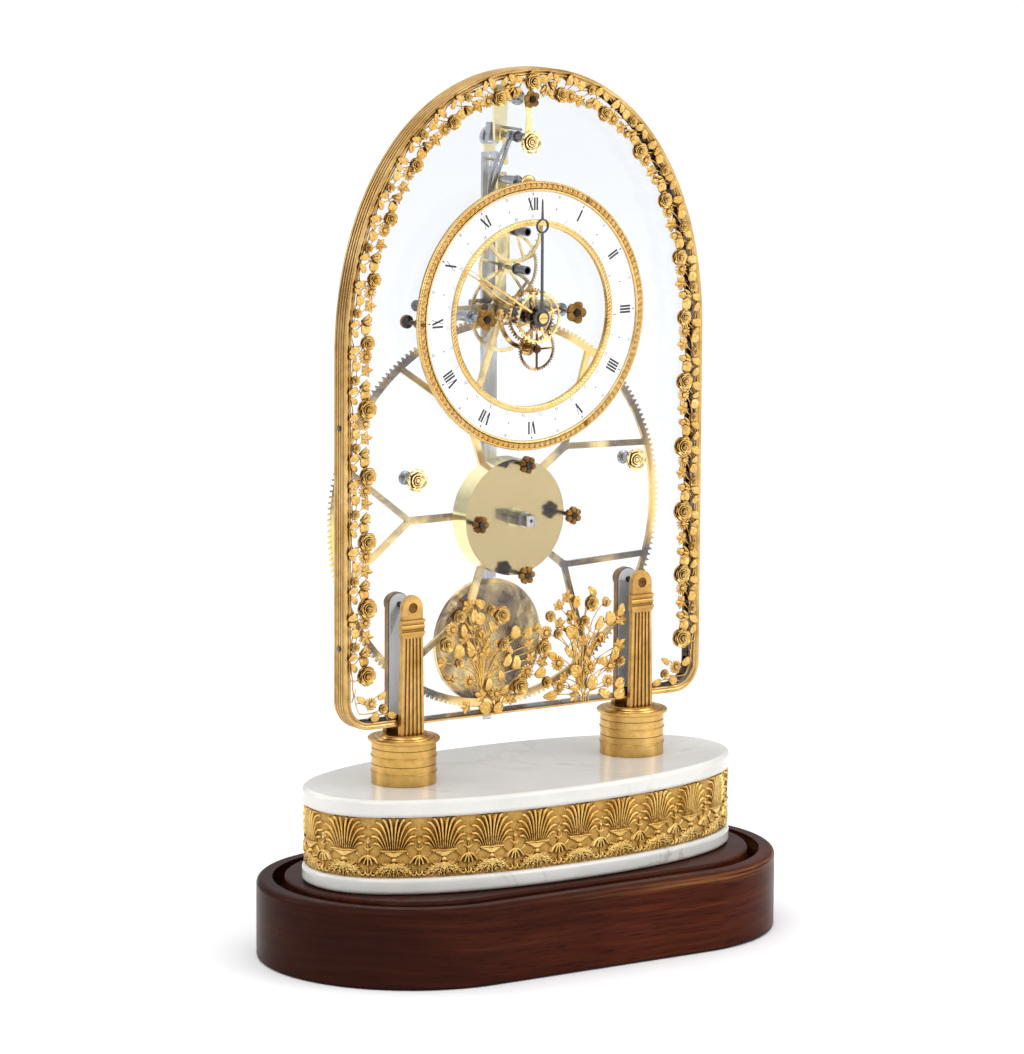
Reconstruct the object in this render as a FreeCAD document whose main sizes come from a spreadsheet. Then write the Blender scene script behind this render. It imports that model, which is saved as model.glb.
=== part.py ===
import FreeCAD, Part
import math
import os

# Skeleton clock on a glass plate. Millimetres. Z up, X to the right, the dial faces -Y.
# Origin: centre of the plinth's underside. The glass plate's middle plane is Y = 0.

V = FreeCAD.Vector
doc = FreeCAD.newDocument("skeleton_clock")
sheet = doc.addObject("Spreadsheet::Sheet", "dims")

DIMS = [
    # turned and moulded plinth
    ("plinth_half_len", 142.5), ("plinth_half_dep", 77.5), ("plinth_height", 40.0), ("rim_width", 8.0),
    ("dome_groove", 6.0), ("groove_floor", 30.0), ("platform_top", 41.0), ("board_under", 3.0),
    # marble base
    ("marble_a", 122.3), ("marble_b", 56.7), ("marble_power", 2.24), ("slab_low_t", 8.5), ("frieze_h", 30.2),
    ("slab_up_t", 9.0), ("slab_round", 2.2), ("frieze_inset", 2.2), ("frieze_t", 1.4),
    # drums and pilasters
    ("drum_x", 69.4), ("drum_rad", 16.3), ("drum_flange_rad", 18.15), ("drum_height", 25.0),
    ("pilaster_t", 2.7), ("pilaster_w_low", 13.8), ("pilaster_w_top", 11.8), ("pilaster_len", 70.6),
    ("pad_t", 0.95), ("bolt_rad", 1.5), ("bolt_z", 178.0),
    # glass and band
    ("glass_t", 9.0), ("band_depth", 10.8), ("band_t", 1.85), ("band_lip", 1.9), ("frame_half_w", 107.6),
    ("frame_bottom", 118.1), ("frame_spring", 302.3), ("frame_top", 443.0), ("frame_power", 2.141), ("frame_corner", 15.0),
    # dial
    ("dial_z", 319.4), ("enamel_out", 63.2), ("enamel_in", 47.9), ("enamel_t", 1.5), ("bezel_rad", 67.5),
    ("bezel_t", 3.7), ("inner_rim_in", 45.4), ("dial_face_y", 9.4), ("foot_circle", 65.0),
    # going train
    ("great_teeth", 216), ("great_module", 0.92), ("center_leaves", 9), ("center_teeth", 96), ("center_module", 0.43),
    ("third_leaves", 8), ("third_teeth", 80), ("third_module", 0.44), ("escape_leaves", 8), ("escape_pins", 30),
    ("escape_rad", 16.5), ("pin_circle", 15.7),
    # motion work
    ("cannon_teeth", 24), ("minute_teeth", 48), ("minute_module", 0.444444), ("minute_leaves", 8),
    ("hour_teeth", 48), ("hour_module", 0.571429), ("motion_centres", 16.0), ("date_teeth", 31), ("date_rad", 13.5),
    ("minute_hand_len", 59.5), ("hour_hand_len", 49.0), ("date_hand_len", 50.0),
    # barrel
    ("barrel_rad", 29.6), ("barrel_wall", 3.4), ("barrel_depth", 11.0), ("barrel_bolt_circle", 27.9),
    ("arbor_rad", 3.8), ("square_side", 5.2), ("ratchet_teeth", 30), ("ratchet_rad", 12.0),
    # pendulum
    ("swing_z", 408.0), ("rod_w", 9.0), ("rod_t", 2.0), ("rod_y", 30.0), ("bob_z", 149.0), ("bob_rad", 32.0),
    ("bob_t", 6.0), ("hanger_z", 427.6), ("rose_z", 406.2),
    # movement frame
    ("pillar_x", 27.0), ("pillar_end_y", 55.0), ("tplate_y", 18.3), ("tplate_t", 2.0), ("tplate_w", 5.3),
    ("tplate_top", 389.0), ("top_pillar_z", 385.7),
]
D = {}
for row, (alias, value) in enumerate(DIMS, 1):
    sheet.set("A%d" % row, alias)
    sheet.set("B%d" % row, str(value))
    sheet.setAlias("B%d" % row, alias)
    D[alias] = float(value)
doc.recompute()


class Q:
    """A length that knows both its number and its spreadsheet expression."""

    def __init__(self, v, e=None):
        self.v = float(v)
        self.e = e if e is not None else ("%.6f" % v if v >= 0 else "(%.6f)" % v)

    @staticmethod
    def of(x):
        return x if isinstance(x, Q) else Q(x)

    def __add__(self, o): o = Q.of(o); return Q(self.v + o.v, "(%s + %s)" % (self.e, o.e))
    __radd__ = __add__
    def __sub__(self, o): o = Q.of(o); return Q(self.v - o.v, "(%s - %s)" % (self.e, o.e))
    def __rsub__(self, o): return Q.of(o) - self
    def __mul__(self, o): o = Q.of(o); return Q(self.v * o.v, "(%s * %s)" % (self.e, o.e))
    __rmul__ = __mul__
    def __truediv__(self, o): o = Q.of(o); return Q(self.v / o.v, "(%s / %s)" % (self.e, o.e))
    def __neg__(self): return Q(-self.v, "(0 - %s)" % self.e)


def d(alias):
    return Q(D[alias], "dims." + alias)


def setq(obj, prop, q):
    q = Q.of(q)
    if prop.startswith("Placement"):
        obj.setExpression(prop, q.e)
    else:
        setattr(obj, prop, q.v)
        obj.setExpression(prop, q.e)


TURN_Y = FreeCAD.Rotation(V(1, 0, 0), -90)     # local Z to +Y
NODES = []
serial = [0]


def nm(stem):
    serial[0] += 1
    return "%s_%d" % (stem, serial[0])


def place(obj, x, y, z, rot=None):
    x, y, z = Q.of(x), Q.of(y), Q.of(z)
    obj.Placement = FreeCAD.Placement(V(x.v, y.v, z.v), rot or FreeCAD.Rotation())
    for axis, q in (("x", x), ("y", y), ("z", z)):
        if "dims." in q.e:
            obj.setExpression("Placement.Base." + axis, q.e)
    return obj


def cyl_y(rad, y0, y1, x=0.0, z=0.0):
    o = doc.addObject("Part::Cylinder", nm("rod"))
    setq(o, "Radius", rad)
    setq(o, "Height", Q.of(y1) - Q.of(y0))
    return place(o, x, y0, z, TURN_Y)


def cyl_z(rad, z0, z1, x=0.0, y=0.0):
    o = doc.addObject("Part::Cylinder", nm("post"))
    setq(o, "Radius", rad)
    setq(o, "Height", Q.of(z1) - Q.of(z0))
    return place(o, x, y, z0)


def cone_y(rad0, rad1, y0, y1, x=0.0, z=0.0):
    o = doc.addObject("Part::Cone", nm("taper"))
    setq(o, "Radius1", rad0)
    setq(o, "Radius2", rad1)
    setq(o, "Height", Q.of(y1) - Q.of(y0))
    return place(o, x, y0, z, TURN_Y)


def ball(rad, x, y, z):
    o = doc.addObject("Part::Sphere", nm("ball"))
    setq(o, "Radius", rad)
    return place(o, x, y, z)


def box(x0, x1, y0, y1, z0, z1):
    o = doc.addObject("Part::Box", nm("block"))
    x0, x1, y0, y1, z0, z1 = [Q.of(q) for q in (x0, x1, y0, y1, z0, z1)]
    setq(o, "Length", x1 - x0)
    setq(o, "Width", y1 - y0)
    setq(o, "Height", z1 - z0)
    return place(o, x0, y0, z0)


def bar_xz(x0, z0, x1, z1, width, y0, y1, extra=0.0):
    """A straight flat bar in a plane of constant Y, from one point to another."""
    o = doc.addObject("Part::Box", nm("bar"))
    ln = math.hypot(x1 - x0, z1 - z0) + 2 * extra
    width, y0, y1 = Q.of(width), Q.of(y0), Q.of(y1)
    o.Length = ln
    setq(o, "Width", y1 - y0)
    setq(o, "Height", width)
    ang = math.degrees(math.atan2(z1 - z0, x1 - x0))
    rot = FreeCAD.Rotation(V(0, 1, 0), -ang)
    ux, uz = (x1 - x0) / (ln - 2 * extra), (z1 - z0) / (ln - 2 * extra)
    bx = x0 - ux * extra + uz * width.v / 2
    bz = z0 - uz * extra - ux * width.v / 2
    o.Placement = FreeCAD.Placement(V(bx, y0.v, bz), rot)
    return o


def fuse(*parts):
    parts = [p for p in parts if p is not None]
    if len(parts) == 1:
        return parts[0]
    o = doc.addObject("Part::MultiFuse", nm("joined"))
    o.Shapes = list(parts)
    return o


def cut(base, *tools):
    o = doc.addObject("Part::Cut", nm("cut"))
    o.Base = base
    o.Tool = fuse(*tools)
    return o


def group(*parts):
    o = doc.addObject("Part::Compound", nm("group"))
    o.Links = list(parts)
    return o


def made(shape, x=0.0, y=0.0, z=0.0):
    """A shape that neither a body nor a primitive gives: toothed rims, superelliptic outlines, spirals."""
    o = doc.addObject("Part::Feature", nm("formed"))
    o.Shape = shape
    o.Placement = FreeCAD.Placement(V(x, y, z), FreeCAD.Rotation()).multiply(shape.Placement)
    return o


def node(label, obj):
    obj.Label = label
    NODES.append((label, obj))
    return obj


def plane_of(body, role):
    return [f for f in body.Origin.OriginFeatures if f.Role == role][0]


def poly_sketch(body, role, pts, mirror_x=False):
    """A closed, fully placed polygon. pts are (Q or number, Q or number), all coordinates at or above zero."""
    import Sketcher
    sk = body.newObject("Sketcher::SketchObject", nm("profile"))
    sk.AttachmentSupport = [(plane_of(body, role), "")]
    sk.MapMode = "FlatFace"
    pts = [(Q.of(a), Q.of(b)) for a, b in pts]
    n = len(pts)
    geo = [Part.LineSegment(V(pts[i][0].v, pts[i][1].v, 0), V(pts[(i + 1) % n][0].v, pts[(i + 1) % n][1].v, 0)) for i in range(n)]
    sk.addGeometry(geo, False)
    for i in range(n):
        sk.addConstraint(Sketcher.Constraint("Coincident", i, 2, (i + 1) % n, 1))
    for i, (a, b) in enumerate(pts):
        for kind, q, axis in (("DistanceX", a, -2), ("DistanceY", b, -1)):
            if abs(q.v) < 1e-9:
                sk.addConstraint(Sketcher.Constraint("PointOnObject", i, 1, axis))
            else:
                c = sk.addConstraint(Sketcher.Constraint(kind, -1, 1, i, 1, q.v))
                if "dims." in q.e:
                    name = "k%d%s" % (i, kind[-1].lower())
                    sk.renameConstraint(c, name)
                    sk.setExpression("Constraints." + name, q.e)
    return sk


def revolved(label, pts, x=0.0, y=0.0, z=0.0, about_y=False):
    """A turned piece: (radius, height) profile turned about the local Z axis."""
    body = doc.addObject("PartDesign::Body", nm("turned"))
    sk = poly_sketch(body, "XZ_Plane", pts)
    rv = body.newObject("PartDesign::Revolution", nm("turning"))
    rv.Profile = sk
    rv.ReferenceAxis = (sk, ["V_Axis"])
    rv.Angle = 360.0
    sk.Visibility = False
    place(body, x, y, z, TURN_Y if about_y else None)
    if label:
        node(label, body)
    return body


def padded_plate(label, pts, thick, x, y, z):
    """A flat plate whose outline stands in X and Z, padded along +Y. The sketch plane's normal is -Y."""
    body = doc.addObject("PartDesign::Body", nm("plate"))
    sk = poly_sketch(body, "XZ_Plane", pts)
    pad = body.newObject("PartDesign::Pad", nm("pad"))
    pad.Profile = sk
    setq(pad, "Length", thick)
    sk.Visibility = False
    doc.recompute()
    bb = body.Shape.BoundBox
    if bb.YMax < 0.5 * Q.of(thick).v:            # it grew towards -Y
        pad.Reversed = True
    place(body, x, y, z)
    if label:
        node(label, body)
    return body


# ------------------------------------------------------------------ outlines

def closed_spline(points):
    c = Part.BSplineCurve()
    c.interpolate(Points=[V(*p) for p in points], PeriodicFlag=True)
    return Part.Wire([c.toShape()])


def superellipse_wire(a, b, power, z, count=72):
    pts = []
    for i in range(count):
        t = 2 * math.pi * (i + 0.5) / count
        c, s = math.cos(t), math.sin(t)
        pts.append((a * math.copysign(abs(c) ** (2 / power), c), b * math.copysign(abs(s) ** (2 / power), s), z))
    return closed_spline(pts)


def superellipse_solid(inset, z0, z1, rounding=0.0):
    w = superellipse_wire(D["marble_a"] - inset, D["marble_b"] - inset, D["marble_power"], z0)
    s = Part.Face(w).extrude(V(0, 0, z1 - z0))
    if rounding:
        s = s.makeFillet(rounding, [e for e in s.Edges if abs(e.BoundBox.ZMax - e.BoundBox.ZMin) < 1e-3])
    return s


def frame_outline(inset, y, n_arch=40):
    """The plate's outline, inset square to itself: flat bottom, round lower corners, straight sides, high arch."""
    W, zb, zs, zt = D["frame_half_w"], D["frame_bottom"], D["frame_spring"], D["frame_top"]
    power, rc = D["frame_power"], D["frame_corner"]
    arch = []
    for i in range(n_arch + 1):
        t = math.pi * i / n_arch
        c, s = math.cos(t), math.sin(t)
        arch.append((W * math.copysign(abs(c) ** (2 / power), c), zs + (zt - zs) * abs(s) ** (2 / power)))
    off = []
    for i, (x, z) in enumerate(arch):
        if i == 0:
            nx, nz = 1.0, 0.0
        elif i == n_arch:
            nx, nz = -1.0, 0.0
        else:
            tx, tz = arch[i + 1][0] - arch[i - 1][0], arch[i + 1][1] - arch[i - 1][1]
            ln = math.hypot(tx, tz)
            nx, nz = tz / ln, -tx / ln
        off.append((x - nx * inset, z - nz * inset))
    c = Part.BSplineCurve()
    c.interpolate([V(x, y, z) for x, z in off])
    w, r = W - inset, rc - inset
    e = [c.toShape()]
    e.append(Part.LineSegment(V(-w, y, zs), V(-w, y, zb + rc)).toShape())
    k = math.sqrt(0.5)
    e.append(Part.Arc(V(-w, y, zb + rc), V(-(W - rc) - r * k, y, zb + rc - r * k), V(-(W - rc), y, zb + inset)).toShape())
    e.append(Part.LineSegment(V(-(W - rc), y, zb + inset), V(W - rc, y, zb + inset)).toShape())
    e.append(Part.Arc(V(W - rc, y, zb + inset), V(W - rc + r * k, y, zb + rc - r * k), V(w, y, zb + rc)).toShape())
    e.append(Part.LineSegment(V(w, y, zb + rc), V(w, y, zs)).toShape())
    return Part.Wire(e)


def frame_solid(inset, y0, y1):
    return Part.Face(frame_outline(inset, y0)).extrude(V(0, y1 - y0, 0))


def ring_wire(r, y, z):
    return Part.Wire([Part.makeCircle(r, V(0, y, z), V(0, 1, 0))])


def tooth_outline(teeth, r_root, r_tip, root_frac, tip_frac, phase, cx, y, cz, mid=None, saw=False):
    pts = []
    pitch = 2 * math.pi / teeth
    for k in range(teeth):
        b = phase + k * pitch
        if saw:
            row = [(r_root, b - 0.5 * pitch + 1e-3), (r_tip, b + 0.44 * pitch), (r_tip, b + 0.47 * pitch)]
        elif mid:
            row = [(r_root, b - root_frac * pitch), (mid[0], b - mid[1] * pitch), (r_tip, b - tip_frac * pitch),
                   (r_tip, b + tip_frac * pitch), (mid[0], b + mid[1] * pitch), (r_root, b + root_frac * pitch)]
        else:
            row = [(r_root, b - root_frac * pitch), (r_tip, b - tip_frac * pitch),
                   (r_tip, b + tip_frac * pitch), (r_root, b + root_frac * pitch)]
        for r, a in row:
            pts.append(V(cx + r * math.cos(a), y, cz + r * math.sin(a)))
    pts.append(pts[0])
    return Part.makePolygon(pts)


def wheel_face(outer, inner_r, cx, y, cz):
    inner = Part.Wire([Part.makeCircle(inner_r, V(cx, y, cz), V(0, 1, 0))])
    return Part.Face([outer, inner]) if Part.Face([outer, inner]).isValid() else Part.Face(outer).cut(Part.Face(inner))


def crossed_wheel(teeth, module, y0, y1, cz, hole, hub, rim_in, arms, arm_w, phase, arm_phase=0.0, cx=0.0,
                  root=None, tip=None, root_frac=0.27, tip_frac=0.09, saw=False):
    """A spoked toothed wheel in one piece: toothed rim, straight arms and a hub with its hole."""
    rp = teeth * module / 2
    r_root = root if root else rp - 1.15 * module
    r_tip = tip if tip else rp + 0.78 * module
    out = tooth_outline(teeth, r_root, r_tip, root_frac, tip_frac, phase, cx, y0, cz, saw=saw)
    rim = Part.Face(out).extrude(V(0, y1 - y0, 0))
    hollow = Part.makeCylinder(rim_in, y1 - y0 + 2, V(cx, y0 - 1, cz), V(0, 1, 0))
    rim = rim.cut(hollow)
    pieces = [Part.makeCylinder(hub, y1 - y0, V(cx, y0, cz), V(0, 1, 0))]
    for k in range(arms):
        a = arm_phase + 2 * math.pi * k / arms
        b = Part.makeBox(rim_in + 0.4 - hub * 0.6, y1 - y0, arm_w, V(hub * 0.6, y0, -arm_w / 2))
        b.rotate(V(0, 0, 0), V(0, 1, 0), -math.degrees(a))
        b.translate(V(cx, 0, cz))
        pieces.append(b)
    s = rim.multiFuse(pieces).removeSplitter()
    return s.cut(Part.makeCylinder(hole, y1 - y0 + 2, V(cx, y0 - 1, cz), V(0, 1, 0)))


def pinion_solid(leaves, module, y0, y1, cx, cz, phase, bore=None):
    rp = leaves * module / 2
    out = tooth_outline(leaves, rp - 1.25 * module, rp + 0.55 * module, 0.16, 0.09, phase, cx, y0, cz, mid=(rp, 0.15))
    s = Part.Face(out).extrude(V(0, y1 - y0, 0))
    if bore:
        s = s.cut(Part.makeCylinder(bore, y1 - y0 + 2, V(cx, y0 - 1, cz), V(0, 1, 0)))
    return s


def cylinder(r, y0, y1, x, z):
    return Part.makeCylinder(r, y1 - y0, V(x, y0, z), V(0, 1, 0))


# ------------------------------------------------------------------ plinth

def stadium(half_len, half_dep, z0, z1):
    half_len, half_dep = Q.of(half_len), Q.of(half_dep)
    straight = half_len - half_dep
    mid = box(-straight, straight, -half_dep, half_dep, z0, z1)
    a = cyl_z(half_dep, z0, z1, x=straight)
    b = cyl_z(half_dep, z0, z1, x=-straight)
    o = fuse(mid, a, b)
    o.Refine = True
    return o


def rounded(base, radius, pick):
    doc.recompute()
    o = doc.addObject("Part::Fillet", nm("rounding"))
    o.Base = base
    o.Edges = [(i, radius, radius) for i, e in enumerate(base.Shape.Edges, 1) if pick(e.BoundBox)]
    return o


PL, PD = d("plinth_half_len"), d("plinth_half_dep")
rim_in_l, rim_in_d = PL - d("rim_width"), PD - d("rim_width")
rim = cut(stadium(PL, PD, 0, d("plinth_height")), stadium(rim_in_l, rim_in_d, -1, d("plinth_height") + 1))
rim = rounded(rim, 3.2, lambda b: b.ZMin > D["plinth_height"] - 1e-3 and max(abs(b.YMin), abs(b.YMax)) > D["plinth_half_dep"] - 1)
rim = rounded(rim, 1.2, lambda b: b.ZMax < 1e-3 and max(abs(b.YMin), abs(b.YMax)) > D["plinth_half_dep"] - 1)
node("plinth_rim", rim)
board = cut(stadium(rim_in_l, rim_in_d, d("board_under"), d("groove_floor")),
            cyl_z(7.0, 2.0, 12.0, x=d("drum_x")), cyl_z(7.0, 2.0, 12.0, x=-d("drum_x")),
            cyl_z(3.1, 10.0, 32.0, x=d("drum_x")), cyl_z(3.1, 10.0, 32.0, x=-d("drum_x")))
node("plinth_board", board)
plat_l, plat_d = rim_in_l - d("dome_groove"), rim_in_d - d("dome_groove")
plat = cut(stadium(plat_l, plat_d, d("groove_floor"), d("platform_top")),
           cyl_z(3.1, 28.0, 45.0, x=d("drum_x")), cyl_z(3.1, 28.0, 45.0, x=-d("drum_x")))
plat = rounded(plat, 1.5, lambda b: b.ZMin > D["platform_top"] - 1e-3 and b.YMax - b.YMin > 20 or (b.ZMin > D["platform_top"] - 1e-3 and b.XMax - b.XMin > 60))
node("plinth_platform", plat)

# ------------------------------------------------------------------ marble base and frieze
z1 = D["platform_top"]
z2 = z1 + D["slab_low_t"]
z3 = z2 + D["frieze_h"]
z4 = z3 + D["slab_up_t"]
DX = D["drum_x"]


def slab(label, a, b, rounding):
    body = made(superellipse_solid(0.0, a, b, rounding))
    node(label, cut(body, cyl_z(3.1, a - 1, b + 1, x=d("drum_x")), cyl_z(3.1, a - 1, b + 1, x=-d("drum_x"))))


slab("marble_lower_slab", z1, z2, D["slab_round"])
core = made(superellipse_solid(D["frieze_inset"] + D["frieze_t"] + 0.1, z2, z3))
node("base_core", cut(core, cyl_z(3.1, z2 - 1, z3 + 1, x=d("drum_x")), cyl_z(3.1, z2 - 1, z3 + 1, x=-d("drum_x"))))
node("frieze_band", made(superellipse_solid(D["frieze_inset"], z2, z3).cut(superellipse_solid(D["frieze_inset"] + D["frieze_t"], z2 - 1, z3 + 1))))
slab("marble_upper_slab", z3, z4, D["slab_round"])

# ------------------------------------------------------------------ drums: turned, banded, flanged, stepped top
prof = [(3.1, 0.0), (d("drum_rad"), 0.0)]
for lo, kind in ((6.1, "bead"), (10.0, "groove"), (14.1, "bead"), (18.1, "groove")):
    if kind == "bead":
        prof += [(d("drum_rad"), lo - 0.3), (16.55, lo - 0.12), (16.55, lo + 0.12), (d("drum_rad"), lo + 0.3)]
    else:
        prof += [(d("drum_rad"), lo - 0.22), (15.9, lo - 0.1), (15.9, lo + 0.1), (d("drum_rad"), lo + 0.22)]
prof += [(d("drum_rad"), 21.2), (17.7, 21.5), (d("drum_flange_rad"), 21.8), (d("drum_flange_rad"), 22.8), (17.6, 23.3), (16.2, 23.3), (15.8, 22.9), (15.1, 22.9),
         (14.8, 23.5), (13.6, 23.8), (13.3, 23.5), (12.7, 23.5), (12.3, 24.3), (11.6, 24.4), (11.6, d("drum_height")), (3.1, d("drum_height"))]
left = revolved(None, prof, x=-d("drum_x"), z=z4)
right = revolved(None, prof, x=d("drum_x"), z=z4)
node("drum_pedestals", group(left, right))
z5 = z4 + D["drum_height"]
studs = []
for sx in (-1, 1):
    rod = cyl_z(3.0, 6.0, z5 - 0.5, x=sx * d("drum_x"))
    nut = cyl_z(6.0, 5.0, 10.0, x=sx * d("drum_x"))
    studs.append(fuse(rod, nut))
node("pedestal_studs", group(*studs))

# ------------------------------------------------------------------ pilasters
PF = d("glass_t") / 2 + d("pad_t")


def pilaster_front(sx):
    wl, wt = D["pilaster_w_low"] / 2, D["pilaster_w_top"] / 2
    L = D["pilaster_len"]
    hw = d("pilaster_w_low") / 2
    c = 10.0   # the profile stands clear of the sketch's axes
    side = [(5.9, L - 21.0), (6.6, L - 20.8), (6.6, L - 12.2), (5.9, L - 11.9), (5.9, L - 7.0)]
    side += [(round(5.9 * math.sqrt(1 - (1 - q / 7.0) ** 2), 3), L - q) for q in (5.6, 4.4, 3.2, 2.2, 1.4, 0.7, 0.2)]
    pts = [(c - hw, 0), (c + hw, 0)] + [(c + w, q) for w, q in side] + [(c, d("pilaster_len"))] + [(c - w, q) for w, q in reversed(side)]
    plate = padded_plate(None, pts, d("pilaster_t"), sx * d("drum_x") - c, -PF - d("pilaster_t"), z5)
    yf = -PF - d("pilaster_t")
    x0 = sx * DX
    zt = z5 + L
    neck = doc.addObject("Part::Cylinder", nm("neck"))
    neck.Radius, neck.Height = 1.7, 13.2
    neck.Placement = FreeCAD.Placement(V(x0 - 6.6, Q.of(yf).v + 0.98, Q.of(zt).v - 16.0), FreeCAD.Rotation(V(0, 1, 0), 90))
    adds = [box(x0 - 6.9, x0 + 6.9, yf - 0.8, yf + 0.5, zt - 13.6, zt - 12.4), neck,
            box(x0 - 6.9, x0 + 6.9, yf - 0.85, yf + 0.5, zt - 19.5, zt - 18.3), box(x0 - 6.5, x0 + 6.5, yf - 0.45, yf + 0.5, zt - 20.8, zt - 19.5)]
    flutes = []
    for k in range(5):
        xb = (k - 2) * 2.4
        xt = (k - 2) * 2.0
        flutes.append(bar_xz(x0 + xb, z5 - 1.0, x0 + xt, zt - 21.6, 1.25, yf - 1.0, yf + 0.6))
    hole = cyl_y(d("bolt_rad") + 0.06, yf - 2, yf + 6, x=x0, z=d("bolt_z"))
    sink = cyl_y(2.6, yf - 2, yf + 1.2, x=x0, z=d("bolt_z"))
    return cut(fuse(plate, *adds), hole, sink, *flutes)


node("front_pilasters", group(pilaster_front(-1), pilaster_front(1)))


def pilaster_rear(sx):
    x0 = sx * d("drum_x")
    body = box(x0 - 5.9, x0 + 5.9, PF, PF + 3.4, z5, d("bolt_z"))
    cap = cyl_y(5.9, PF, PF + 3.4, x=x0, z=d("bolt_z"))
    foot = box(x0 - 6.9, x0 + 6.9, PF, PF + 3.4, z5, z5 + 5.0)
    return cut(fuse(body, cap, foot), cyl_y(d("bolt_rad") + 0.06, 0, 20, x=x0, z=d("bolt_z")))


node("rear_pilasters", group(pilaster_rear(-1), pilaster_rear(1)))
pads = []
for sx in (-1, 1):
    x0 = sx * d("drum_x")
    for y0, y1 in ((-PF, -d("glass_t") / 2), (d("glass_t") / 2, PF)):
        strip = box(x0 - 5.4, x0 + 5.4, y0, y1, 122.0, 178.0)
        tip = cyl_y(5.4, y0, y1, x=x0, z=d("bolt_z"))
        pads.append(cut(fuse(strip, tip), cyl_y(d("bolt_rad") + 0.06, -20, 20, x=x0, z=d("bolt_z"))))
node("pilaster_pads", group(*pads))
fast = []
for sx in (-1, 1):
    x0 = sx * d("drum_x")
    shank = cyl_y(d("bolt_rad"), -PF - 2.0, PF + 7.0, x=x0, z=d("bolt_z"))
    head = cyl_y(2.5, -PF - 2.4, -PF - 1.5, x=x0, z=d("bolt_z"))
    nut = cyl_y(4.8, PF + 3.4, PF + 6.2, x=x0, z=d("bolt_z"))
    fast.append(fuse(shank, head, nut))
node("pilaster_bolts", group(*fast))

# ------------------------------------------------------------------ train geometry
CZ = D["dial_z"]
GM, CM, TM = D["great_module"], D["center_module"], D["third_module"]
GT, CL, CT, TL, TT, EL = [int(D[k]) for k in ("great_teeth", "center_leaves", "center_teeth", "third_leaves", "third_teeth", "escape_leaves")]
BZ = CZ - (GT + CL) * GM / 2            # barrel axis
TZ = CZ + (CT + TL) * CM / 2            # third arbor
EZ = TZ + (TT + EL) * TM / 2            # escape arbor
MZ = CZ - D["motion_centres"]           # minute wheel stud
SZ = D["swing_z"]
PX = D["pillar_x"]
HZ = D["hanger_z"]
TPZ = D["top_pillar_z"]

# ------------------------------------------------------------------ glass plate and its band
G2 = D["glass_t"] / 2
plate = made(frame_solid(D["band_t"] + 0.05, -G2, G2))
holes = [cyl_y(4.05, -20, 20, 0, CZ), cyl_y(2.25, -20, 20, 0, TZ), cyl_y(2.25, -20, 20, 0, EZ), cyl_y(2.25, -20, 20, 0, SZ),
         cyl_y(d("arbor_rad") + 0.9, -20, 20, 0, BZ), cyl_y(1.55, -20, 20, PX, CZ), cyl_y(1.55, -20, 20, -PX, CZ),
         cyl_y(1.55, -20, 20, 0, TPZ), cyl_y(1.55, -20, 20, 0, HZ), cyl_y(1.05, -20, 20, 0, MZ)]
for sx in (-1, 1):
    holes.append(cyl_y(d("bolt_rad") + 0.06, -20, 20, sx * d("drum_x"), d("bolt_z")))
for k in range(4):
    a = math.pi / 2 * k
    holes.append(cyl_y(1.15, -20, 20, D["barrel_bolt_circle"] * math.cos(a), BZ + D["barrel_bolt_circle"] * math.sin(a)))
for k in range(3):
    a = math.radians(60 + 120 * k)
    holes.append(cyl_y(1.25, -20, 20, D["foot_circle"] * math.cos(a), CZ + D["foot_circle"] * math.sin(a)))
for sx in (-1, 1):
    holes.append(cyl_y(1.05, -20, 20, sx * 66.0, 241.4))
node("glass_plate", cut(plate, *holes))
h = D["band_depth"] / 2
channel = frame_solid(0.0, -h, h).cut(frame_solid(D["band_t"], -G2 - 0.02, G2 + 0.02)).cut(frame_solid(D["band_t"] + D["band_lip"], -h - 1, h + 1))
# the foot of the band is lower at both edges than its sides, between the pilasters
for y0 in (-h - 1, G2 + 0.02):
    channel = channel.cut(Part.makeBox(154, h + 1 - G2 - 0.02, 4.0, V(-77, y0, D["frame_bottom"] + 1.3)))
node("frame_band", made(channel))
fs = []
for x, z in ((-D["frame_half_w"], 160.0), (-D["frame_half_w"], 270.0), (D["frame_half_w"], 160.0), (D["frame_half_w"], 270.0)):
    s = 1 if x > 0 else -1
    c = doc.addObject("Part::Cylinder", nm("screw"))
    c.Radius, c.Height = 1.3, 0.5
    c.Placement = FreeCAD.Placement(V(x, 0, z), FreeCAD.Rotation(V(0, 1, 0), 90 * s))
    fs.append(c)
for x in (-60.0, 60.0):
    fs.append(cyl_z(1.3, D["frame_bottom"] - 0.5, D["frame_bottom"], x=x))
node("frame_screws", group(*fs))

# ------------------------------------------------------------------ gilt sprays on the glass
# A wire laid all round inside the band with rosettes on it, and two fan-shaped bunches at the foot.
YG0, YG1 = -G2 - 1.9, -G2


def spray_points(inset, step):
    w = frame_outline(inset, 0.0, 40)
    pts = [p for e in Part.__sortEdges__(w.Edges) for p in Part.Wire([e]).discretize(Distance=step)]
    return [(p.x, p.z) for p in pts]


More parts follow.
